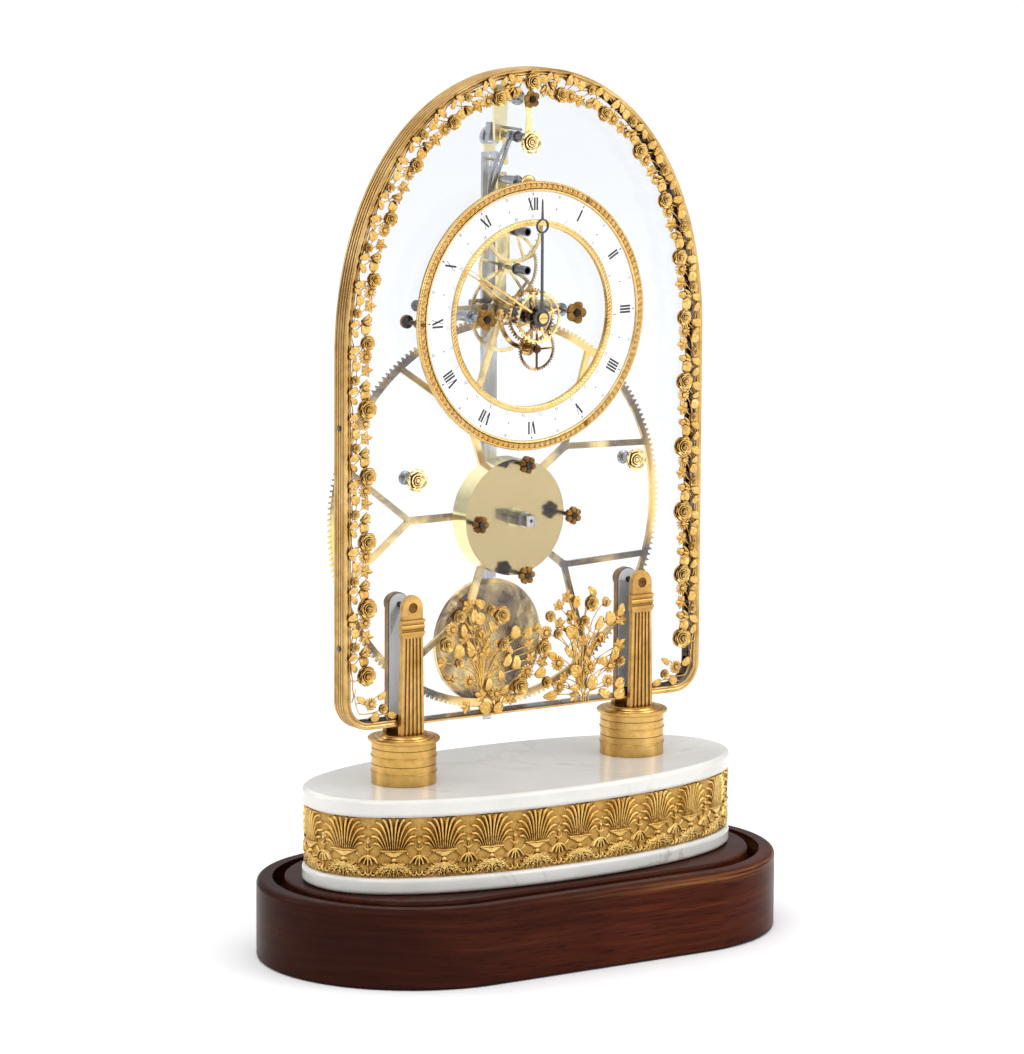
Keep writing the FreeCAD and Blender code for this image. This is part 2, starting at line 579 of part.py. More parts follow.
gar = []
wire = frame_solid(7.2, YG0 + 0.9, YG1).cut(frame_solid(8.2, YG0 - 1, YG1 + 1))
wire = wire.cut(Part.makeBox(166, 20, 30, V(-83, -10, 110)))
blob = [wire]
path = spray_points(11.0, 11.5)
last = None
count = 0
for x, z in path:
    if last and math.hypot(x - last[0], z - last[1]) < 8.5:
        continue
    if abs(x) < 46 and z < 200:
        continue
    if abs(x) < 83 and z < 200 or math.hypot(x, z - D["hanger_z"]) < 11.5:
        last = (x, z)
        continue
    r = 5.4 if count % 2 == 0 else 3.9
    blob.append(cylinder(r, YG0, YG1, x, z))
    last = (x, z)
    count += 1
blob.append(cylinder(3.6, YG0, YG1, 1.0, 435.4))
gs = blob[0].multiFuse(blob[1:])
if gs.ShapeType == "Compound" and len(gs.Solids) == 1:
    gs = gs.Solids[0]
node("garland_border", made(gs))


def bouquet(cx, cz, spread, tall, lean):
    parts = []
    for i in range(7):
        a = math.radians(90 + lean + (i - 3) * spread)
        ln = tall * (1.0 - 0.045 * abs(i - 3))
        x1, z1_ = cx + ln * math.cos(a), cz + ln * math.sin(a)
        b = Part.makeBox(ln, 1.0, 1.2, V(0, YG1 - 1.0, -0.6))
        b.rotate(V(0, 0, 0), V(0, 1, 0), -math.degrees(a))
        b.translate(V(cx, 0, cz))
        parts.append(b)
        parts.append(cylinder(5.0, YG0, YG1, x1, z1_))
        parts.append(cylinder(3.8, YG0, YG1, cx + ln * 0.62 * math.cos(a), cz + ln * 0.62 * math.sin(a)))
    s = parts[0].multiFuse(parts[1:])
    return made(s)


node("bouquets", group(bouquet(-16.0, 126.0, 15.0, 52.0, 4.0), bouquet(30.0, 126.0, 11.0, 49.0, 2.0)))
rc = []
for x, z, seat, high in ((0.0, D["rose_z"], -G2 - 1.0, 5.0), (-66.0, 241.4, -G2, 3.2), (66.0, 241.4, -G2, 3.2)):
    low = 1.1 if not x else 0.0
    petals = [cyl_y(2.6, seat - high + 1.0, seat - low, x + 3.5 * math.cos(math.radians(90 + 72 * k)), z + 3.5 * math.sin(math.radians(90 + 72 * k))) for k in range(5)]
    heart = cyl_y(2.6, seat - high, seat, x, z)
    if x:
        rc.append(fuse(heart, cyl_y(1.0, -G2 - 1, G2 + 1.2, x, z), cyl_y(3.6, G2, G2 + 1.2, x, z), *petals))
    else:
        rc.append(fuse(heart, *petals))
node("rose_caps", group(*rc))

# ------------------------------------------------------------------ dial
FY = D["dial_face_y"]
# profile heights run along +Y from the front
revolved("dial_enamel_ring", [(d("enamel_in"), 0.35), (50.5, 0.0), (60.5, 0.0), (d("enamel_out"), 0.35), (d("enamel_out"), d("enamel_t")),
                              (d("enamel_in"), d("enamel_t"))], y=-d("dial_face_y"), z=d("dial_z"), about_y=True)
bez = revolved(None, [(62.7, 0.5), (63.6, 0.0), (64.6, 0.25), (66.4, 0.25), (67.0, 0.0), (d("bezel_rad"), 0.6), (d("bezel_rad"), d("bezel_t")),
                      (60.0, d("bezel_t")), (60.0, 2.45), (63.3, 2.45), (63.3, 0.98), (62.7, 0.98)],
               y=-d("dial_face_y") - 0.95, z=d("dial_z"), about_y=True)
doc.recompute()
bez_holes = []
for k in range(3):
    a = math.radians(60 + 120 * k)
    bez_holes.append(cyl_y(1.25, -20, 0, D["foot_circle"] * math.cos(a), CZ + D["foot_circle"] * math.sin(a)))
node("dial_bezel", cut(bez, *bez_holes))
revolved("dial_inner_rim", [(d("inner_rim_in"), 0.6), (46.0, 0.1), (47.4, 0.1), (48.3, 0.6), (48.3, 1.0), (47.8, 1.0), (47.8, 2.45), (50.5, 2.45),
                            (50.5, 3.1), (d("inner_rim_in"), 3.1)],
         y=-d("dial_face_y") - 0.95, z=d("dial_z"), about_y=True)
feet = []
yb = -(D["dial_face_y"] + 0.95 - D["bezel_t"])
for k in range(3):
    a = math.radians(60 + 120 * k)
    x, z = D["foot_circle"] * math.cos(a), CZ + D["foot_circle"] * math.sin(a)
    feet.append(fuse(cyl_y(1.2, -FY - 0.3, G2 + 2.6, x, z), cyl_y(2.3, yb, -G2, x, z), cyl_y(3.4, G2, G2 + 1.8, x, z)))
node("dial_feet", group(*feet))

# ------------------------------------------------------------------ bushes let into the glass
bushes = [cut(fuse(cyl_y(4.0, -G2 - 0.6, G2 + 0.8, 0, CZ), cyl_y(5.2, G2, G2 + 0.8, 0, CZ)), cyl_y(1.56, -20, 20, 0, CZ))]
for z in (TZ, EZ, SZ):
    tube = fuse(cyl_y(2.2, -G2 - (0.0 if z == SZ else 0.1), G2 + 0.6, 0, z), cyl_y(2.9, G2, G2 + 0.6, 0, z))
    bushes.append(cut(tube, cyl_y(1.6, -G2 - 2.0 if z != SZ else -G2 + 1.0, G2 - 1.6, 0, z), cyl_y(0.76, -2, 20, 0, z)))
node("glass_bushes", group(*bushes))

# ------------------------------------------------------------------ motion work, in front of the glass
MM, HM = D["minute_module"], D["hour_module"]
CNT, MNT, ML, HT = [int(D[k]) for k in ("cannon_teeth", "minute_teeth", "minute_leaves", "hour_teeth")]
half = math.pi / 2
# cannon pinion: the tooth nearest the minute stud is at -90 degrees, so a gap of the minute wheel faces it
cannon = Part.Face(tooth_outline(CNT, CNT * MM / 2 - 1.1 * MM, CNT * MM / 2 + 0.7 * MM, 0.25, 0.10, -half, 0, -14.0, CZ)).extrude(V(0, 1.0, 0))
cannon = cannon.fuse(cylinder(1.5, -18.3, -13.0, 0, CZ)).fuse(cylinder(2.9, -14.5, -14.0, 0, CZ))
cannon = cannon.cut(cylinder(1.02, -20, -10, 0, CZ))
node("cannon_pinion", made(cannon))
mw = crossed_wheel(MNT, MM, -13.8, -13.05, MZ, 0.96, 2.2, 9.35, 4, 0.9, half + math.pi / MNT, half, tip_frac=0.10, root_frac=0.25)
mw = mw.fuse(pinion_solid(ML, HM, -9.1, -7.3, 0, MZ, half, bore=0.96)).fuse(cylinder(1.5, -13.1, -9.05, 0, MZ).cut(cylinder(0.96, -14, -8, 0, MZ)))
node("minute_wheel", made(mw))
hw = crossed_wheel(HT, HM, -8.6, -7.8, CZ, 1.06, 3.4, 12.1, 4, 1.3, -half + math.pi / HT, math.radians(92), tip_frac=0.10, root_frac=0.25)
hw = hw.fuse(cylinder(1.9, -12.2, -6.2, 0, CZ).cut(cylinder(1.06, -14, -5, 0, CZ)))
node("hour_wheel", made(hw))
dt = int(D["date_teeth"])
dw = crossed_wheel(dt, 1.0, -15.3, -14.8, CZ, 1.56, 3.2, 11.6, 4, 0.8, 0.0, math.radians(18), root=12.3, tip=D["date_rad"], root_frac=0.42, tip_frac=0.05)
dw = dw.fuse(cylinder(2.5, -16.2, -14.6, 0, CZ).cut(cylinder(1.56, -18, -12, 0, CZ)))
node("date_wheel", made(dw))
# a sickle-shaped arm on the glass holds the minute stud below the centre
foot = cyl_y(4.2, -G2 - 1.2, -G2, 0, MZ)
stud = cyl_y(0.9, -15.0, -3.0, 0, MZ)
collar = cyl_y(1.7, -7.2, -G2, 0, MZ)
keep = cyl_y(1.8, -14.7, -13.9, 0, MZ)
arc_outer = cylinder(17.2, -G2 - 1.1, -G2, 0, CZ).cut(cylinder(15.2, -G2 - 2, -G2 + 1, 0, CZ))
sector = Part.makePolygon([V(0, -10, CZ), V(-34, -10, CZ + 6.0), V(-34, -10, CZ - 34), V(-1.0, -10, CZ - 34), V(0, -10, CZ)])
arc = arc_outer.common(Part.Face(sector).extrude(V(0, 20, 0)))
arc_end = cyl_y(2.6, -G2 - 1.4, -G2, -16.2, CZ + 1.5)
node("motion_cock", fuse(made(arc), foot, stud, collar, keep, arc_end))

# hands: ten o'clock, the date hand stands for the twelfth
def hand_plate(pts, y0, y1, angle):
    """pts: right half outline (half width, length) from hub to tip; angle is clockwise from twelve."""
    ring = [V(w, y0, l) for w, l in pts] + [V(-w, y0, l) for w, l in reversed(pts)]
    ring.append(ring[0])
    s = Part.Face(Part.makePolygon(ring)).extrude(V(0, y1 - y0, 0))
    s.rotate(V(0, 0, 0), V(0, 1, 0), angle)
    s.translate(V(0, 0, CZ))
    return s


ml_ = D["minute_hand_len"]
mh = hand_plate([(0.75, -1.0), (0.62, 42.6)], -18.1, -17.5, 0)
mh = mh.fuse(hand_plate([(0.62, 49.0), (0.35, ml_ - 1), (0.12, ml_)], -18.1, -17.5, 0))
mring = cylinder(3.7, -18.1, -17.5, 0, CZ + 46.0).cut(cylinder(2.75, -19, -17, 0, CZ + 46.0))
mh = mh.fuse(mring).fuse(cylinder(4.4, -18.3, -17.3, 0, CZ)).cut(cylinder(1.52, -19, -17, 0, CZ))
node("minute_hand", made(mh))
scr = cut(fuse(cyl_y(2.6, -19.4, -18.32, 0, CZ), cyl_y(0.75, -18.6, -16.0, 0, CZ)), box(-2.8, 2.8, -19.9, -19.0, CZ - 0.3, CZ + 0.3))
node("minute_hand_screw", scr)
hl = D["hour_hand_len"]
hh = hand_plate([(0.8, 1.0), (0.55, 9.0), (1.3, 13.0), (1.9, 18.0), (2.1, 22.0), (1.8, 27.0), (1.1, 32.0), (0.45, 37.0), (0.2, hl)], -12.1, -11.6, -59)
slot = hand_plate([(0.05, 10.0), (0.8, 13.3), (1.4, 18.0), (1.6, 22.0), (1.3, 27.0), (0.6, 31.6), (0.05, 34.5)], -13, -11, -59)
hh = hh.cut(slot).fuse(cylinder(3.0, -12.1, -11.6, 0, CZ)).cut(cylinder(1.92, -13, -11, 0, CZ))
node("hour_hand", made(hh))
dl = D["date_hand_len"]
dh = hand_plate([(0.6, 1.0), (0.35, 30.0), (0.3, 40.0), (0.12, dl)], -16.1, -15.7, -57.5)
dh = dh.fuse(cylinder(3.6, -16.1, -15.7, 0, CZ)).cut(cylinder(2.52, -17, -15, 0, CZ))
node("date_hand", made(dh))

# ------------------------------------------------------------------ going train, behind the glass
TY, TTK = D["tplate_y"], D["tplate_t"]
ca = cylinder(1.0, -17.9, -6.0, 0, CZ).multiFuse([cylinder(1.5, -6.0, 5.6, 0, CZ), cylinder(1.6, 5.5, 21.3, 0, CZ),
     pinion_solid(CL, GM, 21.2, 24.8, 0, CZ, -half), cylinder(0.9, 24.7, 27.4, 0, CZ), cylinder(2.6, 5.6, 7.0, 0, CZ)])
ca = ca.cut(cylinder(0.77, -19, -15.5, 0, CZ))
node("center_arbor", made(ca))
cw = crossed_wheel(CT, CM, 15.6, 16.4, CZ, 1.62, 3.6, 18.9, 4, 1.5, half, math.radians(45), tip_frac=0.10, root_frac=0.25)
node("center_wheel", made(cw))
ta = cylinder(0.7, 3.0, 20.1, 0, TZ).multiFuse([cylinder(1.0, 5.3, 18.1, 0, TZ), pinion_solid(TL, CM, 14.9, 17.2, 0, TZ, -half + math.pi / TL)])
node("third_arbor", made(ta))
tw = crossed_wheel(TT, TM, 12.4, 13.2, TZ, 1.02, 3.0, 16.1, 5, 1.3, half, half, tip_frac=0.10, root_frac=0.25)
node("third_wheel", made(tw))
ea = cylinder(0.7, 3.0, 20.1, 0, EZ).multiFuse([cylinder(1.0, 5.3, 18.1, 0, EZ), pinion_solid(EL, TM, 11.4, 14.2, 0, EZ, -half + math.pi / EL)])
node("escape_arbor", made(ea))
er, pc = D["escape_rad"], D["pin_circle"]
rimE = cylinder(er, 6.2, 7.0, 0, EZ).cut(cylinder(14.8, 5, 8, 0, EZ))
spk = [Part.makeBox(13.0, 0.8, 1.2, V(2.0, 6.2, -0.6)) for k in range(4)]
for k, b in enumerate(spk):
    b.rotate(V(0, 0, 0), V(0, 1, 0), -90 * k - 20)
    b.translate(V(0, 0, EZ))
pins = [cylinder(0.35, 6.9, 9.4, pc * math.cos(2 * math.pi * k / D["escape_pins"]), EZ + pc * math.sin(2 * math.pi * k / D["escape_pins"])) for k in range(int(D["escape_pins"]))]
ew = rimE.multiFuse(spk + [cylinder(2.8, 6.2, 7.6, 0, EZ)] + pins).cut(cylinder(1.02, 4, 12, 0, EZ))
node("escape_wheel", made(ew))

# ------------------------------------------------------------------ movement frame
ty, tt = d("tplate_y"), d("tplate_t")
vert = box(-d("tplate_w") / 2, d("tplate_w") / 2, ty, ty + tt, d("dial_z") - 6.0, d("tplate_top"))
cross = box(-d("pillar_x") - 4.5, d("pillar_x") + 4.5, ty, ty + tt, d("dial_z") - 3.6, d("dial_z") + 3.6)
boss = cyl_y(6.5, ty, ty + tt, 0, d("dial_z"))
tp = cut(fuse(vert, cross, boss), cyl_y(1.66, 10, 30, 0, CZ), cyl_y(0.76, 10, 30, 0, TZ), cyl_y(0.76, 10, 30, 0, EZ), cyl_y(1.3, 10, 30, 0, TPZ),
         cyl_y(2.26, 10, 30, PX, CZ), cyl_y(2.26, 10, 30, -PX, CZ), cyl_y(1.26, 10, 30, 11.0, CZ + 2.2), cyl_y(1.26, 10, 30, -11.0, CZ + 2.2))
node("rear_t_plate", tp)
# small cock behind the great wheel for the rear pivot of the centre arbor, on two posts
ck = cut(fuse(box(-14.0, 14.0, 25.6, 27.4, CZ - 3.0, CZ + 5.4), cyl_y(1.2, TY - 1.2, 28.2, 11.0, CZ + 2.2), cyl_y(1.2, TY - 1.2, 28.2, -11.0, CZ + 2.2),
              cyl_y(1.9, TY + TTK, 25.6, 11.0, CZ + 2.2), cyl_y(1.9, TY + TTK, 25.6, -11.0, CZ + 2.2),
              cyl_y(2.1, TY - 1.2, TY, 11.0, CZ + 2.2), cyl_y(2.1, TY - 1.2, TY, -11.0, CZ + 2.2)), cyl_y(0.96, 20, 30, 0, CZ))
node("center_rear_cock", ck)
pil = []
for sx in (-1, 1):
    pil.append(fuse(cyl_y(1.5, -G2 - 6.0, G2 + 1, sx * d("pillar_x"), CZ), cyl_y(3.4, G2, G2 + 1.0, sx * d("pillar_x"), CZ), cone_y(3.1, 2.6, G2 + 1.0, TY, sx * d("pillar_x"), CZ),
                    cyl_y(2.2, TY - 0.1, TY + TTK + 0.6, sx * d("pillar_x"), CZ),
                    cone_y(2.2, 1.5, TY + TTK + 0.5, d("pillar_end_y"), sx * d("pillar_x"), CZ)))
pil.append(fuse(cyl_y(1.5, -G2 - 1.9, G2 + 1, 0, TPZ), cyl_y(3.0, G2, G2 + 1.0, 0, TPZ), cone_y(2.6, 2.0, G2 + 0.9, TY, 0, TPZ), cyl_y(1.25, TY - 0.1, TY + TTK + 1.8, 0, TPZ)))
node("movement_pillars", group(*pil))


def flower_nut(x, z, r, thick, bore, turn, y_back, y_seat, collar):
    """Five petals standing off on a round collar."""
    petals = [cyl_y(r * 0.44, y_back - thick, y_back, x + r * 0.56 * math.cos(math.radians(turn + 72.0 * k)),
                    z + r * 0.56 * math.sin(math.radians(turn + 72.0 * k))) for k in range(5)]
    return cut(fuse(cyl_y(r * 0.62, y_back - thick, y_back, x, z), cyl_y(collar, y_back - 0.5, y_seat, x, z), *petals), cyl_y(bore, y_back - 10, y_back + 5, x, z))


fn = [flower_nut(PX, CZ, 5.7, 2.6, 1.52, 20, -7.6, -G2, 3.0), flower_nut(-PX, CZ, 5.7, 2.6, 1.52, 75, -7.6, -G2, 3.0), flower_nut(0, HZ, 4.5, 2.6, 1.52, 90, -6.6, -G2 - 1.0, 2.6),
      cut(cyl_y(4.0, -G2 - 1.7, -G2, 0, TPZ), cyl_y(1.52, -20, 0, 0, TPZ))]
node("pillar_flower_nuts", group(*fn))
bn = []
for sx in (-1, 1):
    bn.append(cut(ball(3.0, sx * d("pillar_x"), d("pillar_end_y") + 0.2, CZ), cone_y(1.90, 1.53, 40.0, d("pillar_end_y") + 0.05, sx * d("pillar_x"), CZ)))
bn.append(cut(cyl_y(2.6, TY + TTK, TY + TTK + 1.8, 0, TPZ), cyl_y(1.27, 15, 25, 0, TPZ)))
node("pillar_end_nuts", group(*bn))

# ------------------------------------------------------------------ barrel
BR, BW = d("barrel_rad"), d("barrel_wall")
by0 = G2 + 0.5
revolved(None, [(d("arbor_rad") + 0.05, 0.0), (BR, 0.0), (BR, d("barrel_depth")), (BR - BW, d("barrel_depth")), (BR - BW, 1.3), (d("arbor_rad") + 0.05, 1.3)],
         y=by0, z=BZ, about_y=True)
drum_body = [o for o in doc.Objects if o.TypeId == "PartDesign::Body"][-1]
bh = []
for k in range(4):
    a = math.pi / 2 * k
    bh.append(cyl_y(1.06, 4.0, 12.5, D["barrel_bolt_circle"] * math.cos(a), BZ + D["barrel_bolt_circle"] * math.sin(a)))
washers = []
for k in range(4):
    a = math.pi / 2 * k
    washers.append(cyl_y(1.55, G2, by0, D["barrel_bolt_circle"] * math.cos(a), BZ + D["barrel_bolt_circle"] * math.sin(a)))
node("barrel_drum", cut(fuse(drum_body, *washers), *bh))
cy0 = by0 + D["barrel_depth"]
cover = cut(cyl_y(BR, cy0, cy0 + 1.4, 0, BZ), cyl_y(d("arbor_rad") + 0.05, 0, 30, 0, BZ))
node("barrel_cover", cover)
turns, seg = 7.0, 26
ri, ro, th = 6.2, 25.4, 0.55
inner, outer = [], []
N = int(turns * seg)
for i in range(N + 1):
    a = 2 * math.pi * i / seg
    r = ri + (ro - ri) * i / N
    inner.append(V(r * math.cos(a), 0, r * math.sin(a)))
    outer.append(V((r + th) * math.cos(a), 0, (r + th) * math.sin(a)))
sp = Part.Face(Part.makePolygon(inner + outer[::-1] + [inner[0]])).extrude(V(0, 8.6, 0))
sp.translate(V(0, by0 + 1.6, BZ))
node("mainspring", made(sp))
wa = cut(fuse(cyl_y(d("arbor_rad"), -3.4, 25.8, 0, BZ), box(-d("square_side") / 2, d("square_side") / 2, -9.5, -3.3, BZ - D["square_side"] / 2, BZ + D["square_side"] / 2),
              cyl_y(5.6, by0 + 1.5, cy0 - 0.3, 0, BZ)), cyl_y(0.9, -9.6, -7.8, 0, BZ))
node("winding_arbor", wa)
bs = []
for k in range(4):
    a = math.pi / 2 * k
    x, z = D["barrel_bolt_circle"] * math.cos(a), BZ + D["barrel_bolt_circle"] * math.sin(a)
    petals = [cyl_y(1.75, -G2 - 2.4, -G2, x + 2.25 * math.cos(math.radians(90 + 72 * j)), z + 2.25 * math.sin(math.radians(90 + 72 * j))) for j in range(5)]
    bs.append(fuse(cyl_y(2.2, -G2 - 2.9, -G2, x, z), cyl_y(1.0, -G2 - 1, 12.0, x, z), *petals))
node("barrel_screws", group(*bs))

# ------------------------------------------------------------------ great wheel with five forked arms
GY0, GY1 = 22.0, 24.0
rp = GT * GM / 2
out = tooth_outline(GT, rp - 1.15 * GM, rp + 0.72 * GM, 0.26, 0.10, half + math.pi / GT, 0, GY0, BZ)
grim = Part.Face(out).extrude(V(0, GY1 - GY0, 0)).cut(cylinder(95.4, GY0 - 1, GY1 + 1, 0, BZ))
arms = [cylinder(20.0, GY0, GY1, 0, BZ)]


def flat_bar(x0, z0, x1, z1, w):
    ln = math.hypot(x1 - x0, z1 - z0)
    b = Part.makeBox(ln, GY1 - GY0, w, V(0, GY0, -w / 2))
    b.rotate(V(0, 0, 0), V(0, 1, 0), -math.degrees(math.atan2(z1 - z0, x1 - x0)))
    b.translate(V(x0, 0, z0))
    return b


for k in range(5):
    a = math.radians(36 + 72 * k)
    fx, fz = 52.0 * math.cos(a), BZ + 52.0 * math.sin(a)
    arms.append(flat_bar(16 * math.cos(a), BZ + 16 * math.sin(a), fx, fz, 3.6))
    arms.append(cylinder(2.2, GY0, GY1, fx, fz))
    for s in (-1, 1):
        b = a + math.radians(18.5 * s)
        arms.append(flat_bar(fx, fz, 96.2 * math.cos(b), BZ + 96.2 * math.sin(b), 3.0))
great = grim.multiFuse(arms).removeSplitter()
click_r = 16.6
ckx, ckz = click_r * math.cos(math.radians(150)), BZ + click_r * math.sin(math.radians(150))
great = great.fuse(cylinder(1.2, 18.3, 22.1, ckx, ckz)).cut(cylinder(D["arbor_rad"] + 0.05, 10, 30, 0, BZ))
node("great_wheel", made(great))
rt = int(D["ratchet_teeth"])
rw = Part.Face(tooth_outline(rt, D["ratchet_rad"] - 1.3, D["ratchet_rad"], 0, 0, 0.0, 0, 18.6, BZ, saw=True)).extrude(V(0, 1.6, 0))
rw = rw.fuse(cylinder(6.2, 17.0, 21.9, 0, BZ).common(cylinder(6.2, 18.6, 21.9, 0, BZ))).cut(cylinder(D["arbor_rad"] + 0.02, 10, 30, 0, BZ))
node("ratchet_wheel", made(rw))
# click: a short lever whose nose stands on the ratchet's tips; its spring is a bent strip on the wheel's hub plate
nx, nz = 12.15 * math.cos(math.radians(112)), BZ + 12.15 * math.sin(math.radians(112))
ux, uz = nx - ckx, nz - ckz
un = math.hypot(ux, uz)
ux, uz = ux / un, uz / un
lev = Part.makeBox(un - 0.2, 1.4, 2.4, V(0, 18.7, 0.0))
lev.rotate(V(0, 0, 0), V(0, 1, 0), -math.degrees(math.atan2(uz, ux)))
lev.translate(V(ckx, 0, ckz))
lev = lev.cut(cylinder(12.1, 17, 23, 0, BZ))
clk = lev.fuse(cylinder(2.6, 18.7, 20.1, ckx, ckz)).cut(cylinder(12.1, 17, 23, 0, BZ)).fuse(cylinder(2.0, 18.7, 21.95, ckx, ckz)).cut(cylinder(1.26, 17, 23, ckx, ckz))
node("click", made(clk))
sa = math.radians(62)
spx, spz = 17.2 * math.cos(sa), BZ + 17.2 * math.sin(sa)
spring_foot = cylinder(1.7, 18.9, 22.0, spx, spz)
tipx, tipz = ckx + ux * (un * 0.72) - uz * 3.6, ckz + uz * (un * 0.72) + ux * 3.6
sl = math.hypot(tipx - spx, tipz - spz)
strip = Part.makeBox(sl, 1.2, 0.4, V(0, 18.9, 0.0))
strip.rotate(V(0, 0, 0), V(0, 1, 0), -math.degrees(math.atan2(tipz - spz, tipx - spx)))
strip.translate(V(spx, 0, spz))
node("click_spring", made(spring_foot.fuse(strip)))

# ------------------------------------------------------------------ suspension, pallets, crutch, pendulum
RY, RT2 = D["rod_y"], D["rod_t"] / 2
hang = [cyl_y(1.5, -G2 - 4.8, G2 + 1, 0, HZ), cyl_y(3.9, G2, G2 + 1.4, 0, HZ), cone_y(3.0, 2.4, G2 + 1.3, 20.2, 0, HZ), cyl_y(2.4, 20.0, 24.5, 0, HZ)]
half_w = [(2.3, 0.0), (2.3, 4.0), (2.1, 7.8), (1.5, 11.8), (1.3, 15.5), (1.6, 18.5), (3.0, 22.0), (3.0, 25.0), (1.8, 26.4)]
fp = padded_plate(None, [(10 - w, q) for w, q in reversed(half_w)] + [(10 + w, q) for w, q in half_w], 1.0, -10.0, -G2 - 1.0, 403.6)
rpl = padded_plate(None, [(10 - 4.4, 28.0), (10 - 3.3, 0), (10 + 3.3, 0), (10 + 4.4, 28.0)], 2.0, -10.0, 20.0, 404.8)
rpl = cut(rpl, cyl_y(0.76, 10, 21.6, 0, SZ))
block = padded_plate(None, [(10 - 3.3, 9.2), (10 - 4.6, 0), (10 + 4.6, 0), (10 + 3.3, 9.2)], 4.4, -10.0, 24.0, 404.3)
stem = box(-2.6, 2.6, 21.9, 24.1, 405.4, 412.0)
knife = cyl_y(0.72, 28.0, 33.2, 0, SZ)
kend = cyl_y(1.9, 32.2, 33.2, 0, SZ)
stay = cyl_y(0.7, G2, 20.1, 1.9, SZ + 3.4)
node("suspension_bracket", fuse(*hang, fp, rpl, block, stem, knife, kend, stay))
pa = fuse(cyl_y(0.7, 3.0, 21.4, 0, SZ), cyl_y(1.3, 5.2, 19.9, 0, SZ), cyl_y(2.6, 9.2, 11.4, 0, SZ), bar_xz(0, SZ, -18.6, 366.5, 1.7, 9.7, 10.5))
# the curved brass pallet arm, bowed away from the wheel, and the two noses beside the pin circle
bow = []
for i in range(9):
    t = i / 8.0
    bow.append((-13.2 * t - 4.6 * math.sin(math.pi * t), SZ + (372.0 - SZ) * t))
prev = bow[0]
segs = []
for q in bow[1:]:
    segs.append(bar_xz(prev[0], prev[1], q[0], q[1], 1.5, 10.5, 11.3, extra=0.35))
    prev = q
nose = [box(-19.4, -15.6, 9.7, 10.6, 365.6, 366.8), box(-15.0, -12.2, 10.4, 11.3, 371.3, 372.5)]
node("pallet_arbor", fuse(pa, *segs, *nose))
cr = cut(fuse(cyl_y(3.0, 15.6, 17.0, 0, SZ), box(-1.3, 1.3, 15.6, 16.8, 394.0, SZ), cyl_y(1.7, 15.6, 16.8, 0, 394.6), cyl_y(0.8, 15.6, 31.8, 0, 394.6)), cyl_y(1.32, 10, 20, 0, SZ))
node("crutch", cr)
rw2 = d("rod_w") / 2
ry0, ry1 = d("rod_y") - d("rod_t") / 2, d("rod_y") + d("rod_t") / 2
ringR = cyl_y(5.4, ry0 - 0.4, ry1 + 0.4, 0, SZ - 2.25)
head = box(-2.9, 2.9, ry0, ry1, 395.0, 402.5)
flat = box(-rw2, rw2, ry0, ry1, 181.4, 398.2)
tail = box(-2.0, 2.0, ry0, ry1, 108.0, 182.4)
rod = cut(fuse(ringR, head, flat, tail), cyl_y(3.0, 20, 40, 0, SZ - 2.25), box(-0.9, 0.9, 20, 40, 391.0, 397.0))
node("pendulum_rod", rod)
by = d("bob_t") / 2
bob = revolved(None, [(0, 0), (d("bob_rad") - 2.0, 0), (d("bob_rad"), 1.6), (d("bob_rad"), d("bob_t") - 1.6), (d("bob_rad") - 2.0, d("bob_t")), (0, d("bob_t"))],
               y=d("rod_y") - by, z=d("bob_z"), about_y=True)
node("pendulum_bob", cut(bob, box(-2.08, 2.08, ry0 - 0.08, ry1 + 0.08, 110.0, 190.0)))
node("rating_nut", cut(cyl_z(4.0, 113.4, 116.95, y=d("rod_y")), box(-2.05, 2.05, ry0 - 0.05, ry1 + 0.05, 105, 125)))

# ------------------------------------------------------------------ check and write
doc.recompute()
bad = [o.Name for o in doc.Objects if "Invalid" in o.State or "Error" in o.State]
if bad:
    raise SystemExit("failed objects: " + ", ".join(bad))
names = [label for label, _ in NODES]
if len(set(names)) != len(names):
    raise SystemExit("a label is used twice")
for label, obj in NODES:
    s = obj.Shape
    if s.isNull() or not s.isValid() or not s.Solids:
        raise SystemExit("bad shape: " + label)
os.makedirs("parts", exist_ok=True)
total = 0.0
for label, obj in NODES:
    s = obj.Shape
    s.exportStep("parts/%s.step" % label)
    b = s.BoundBox
    total += s.Volume
    print("%-20s solids %3d  vol %10.1f  x %.1f %.1f  y %.1f %.1f  z %.1f %.1f" % (label, len(s.Solids), s.Volume, b.XMin, b.XMax, b.YMin, b.YMax, b.ZMin, b.ZMax))
print(len(NODES), "nodes; axes: barrel %.2f centre %.2f third %.2f escape %.2f minute %.2f" % (BZ, CZ, TZ, EZ, MZ))
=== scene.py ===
import bpy, math
import numpy as np
from mathutils import Matrix, Vector


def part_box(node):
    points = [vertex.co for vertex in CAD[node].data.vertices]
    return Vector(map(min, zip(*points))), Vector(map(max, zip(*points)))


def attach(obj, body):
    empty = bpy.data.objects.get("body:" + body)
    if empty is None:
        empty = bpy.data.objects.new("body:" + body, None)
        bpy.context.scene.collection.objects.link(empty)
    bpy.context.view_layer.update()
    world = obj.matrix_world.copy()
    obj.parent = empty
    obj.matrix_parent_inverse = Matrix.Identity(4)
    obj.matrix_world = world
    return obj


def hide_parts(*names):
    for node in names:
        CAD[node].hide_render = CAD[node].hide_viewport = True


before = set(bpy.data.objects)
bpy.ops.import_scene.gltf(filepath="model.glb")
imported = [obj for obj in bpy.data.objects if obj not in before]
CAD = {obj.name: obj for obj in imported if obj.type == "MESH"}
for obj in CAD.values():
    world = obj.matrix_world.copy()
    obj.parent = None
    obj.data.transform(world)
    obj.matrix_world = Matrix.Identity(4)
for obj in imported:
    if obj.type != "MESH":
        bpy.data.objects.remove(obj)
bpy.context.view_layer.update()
rng = np.random.default_rng(7)

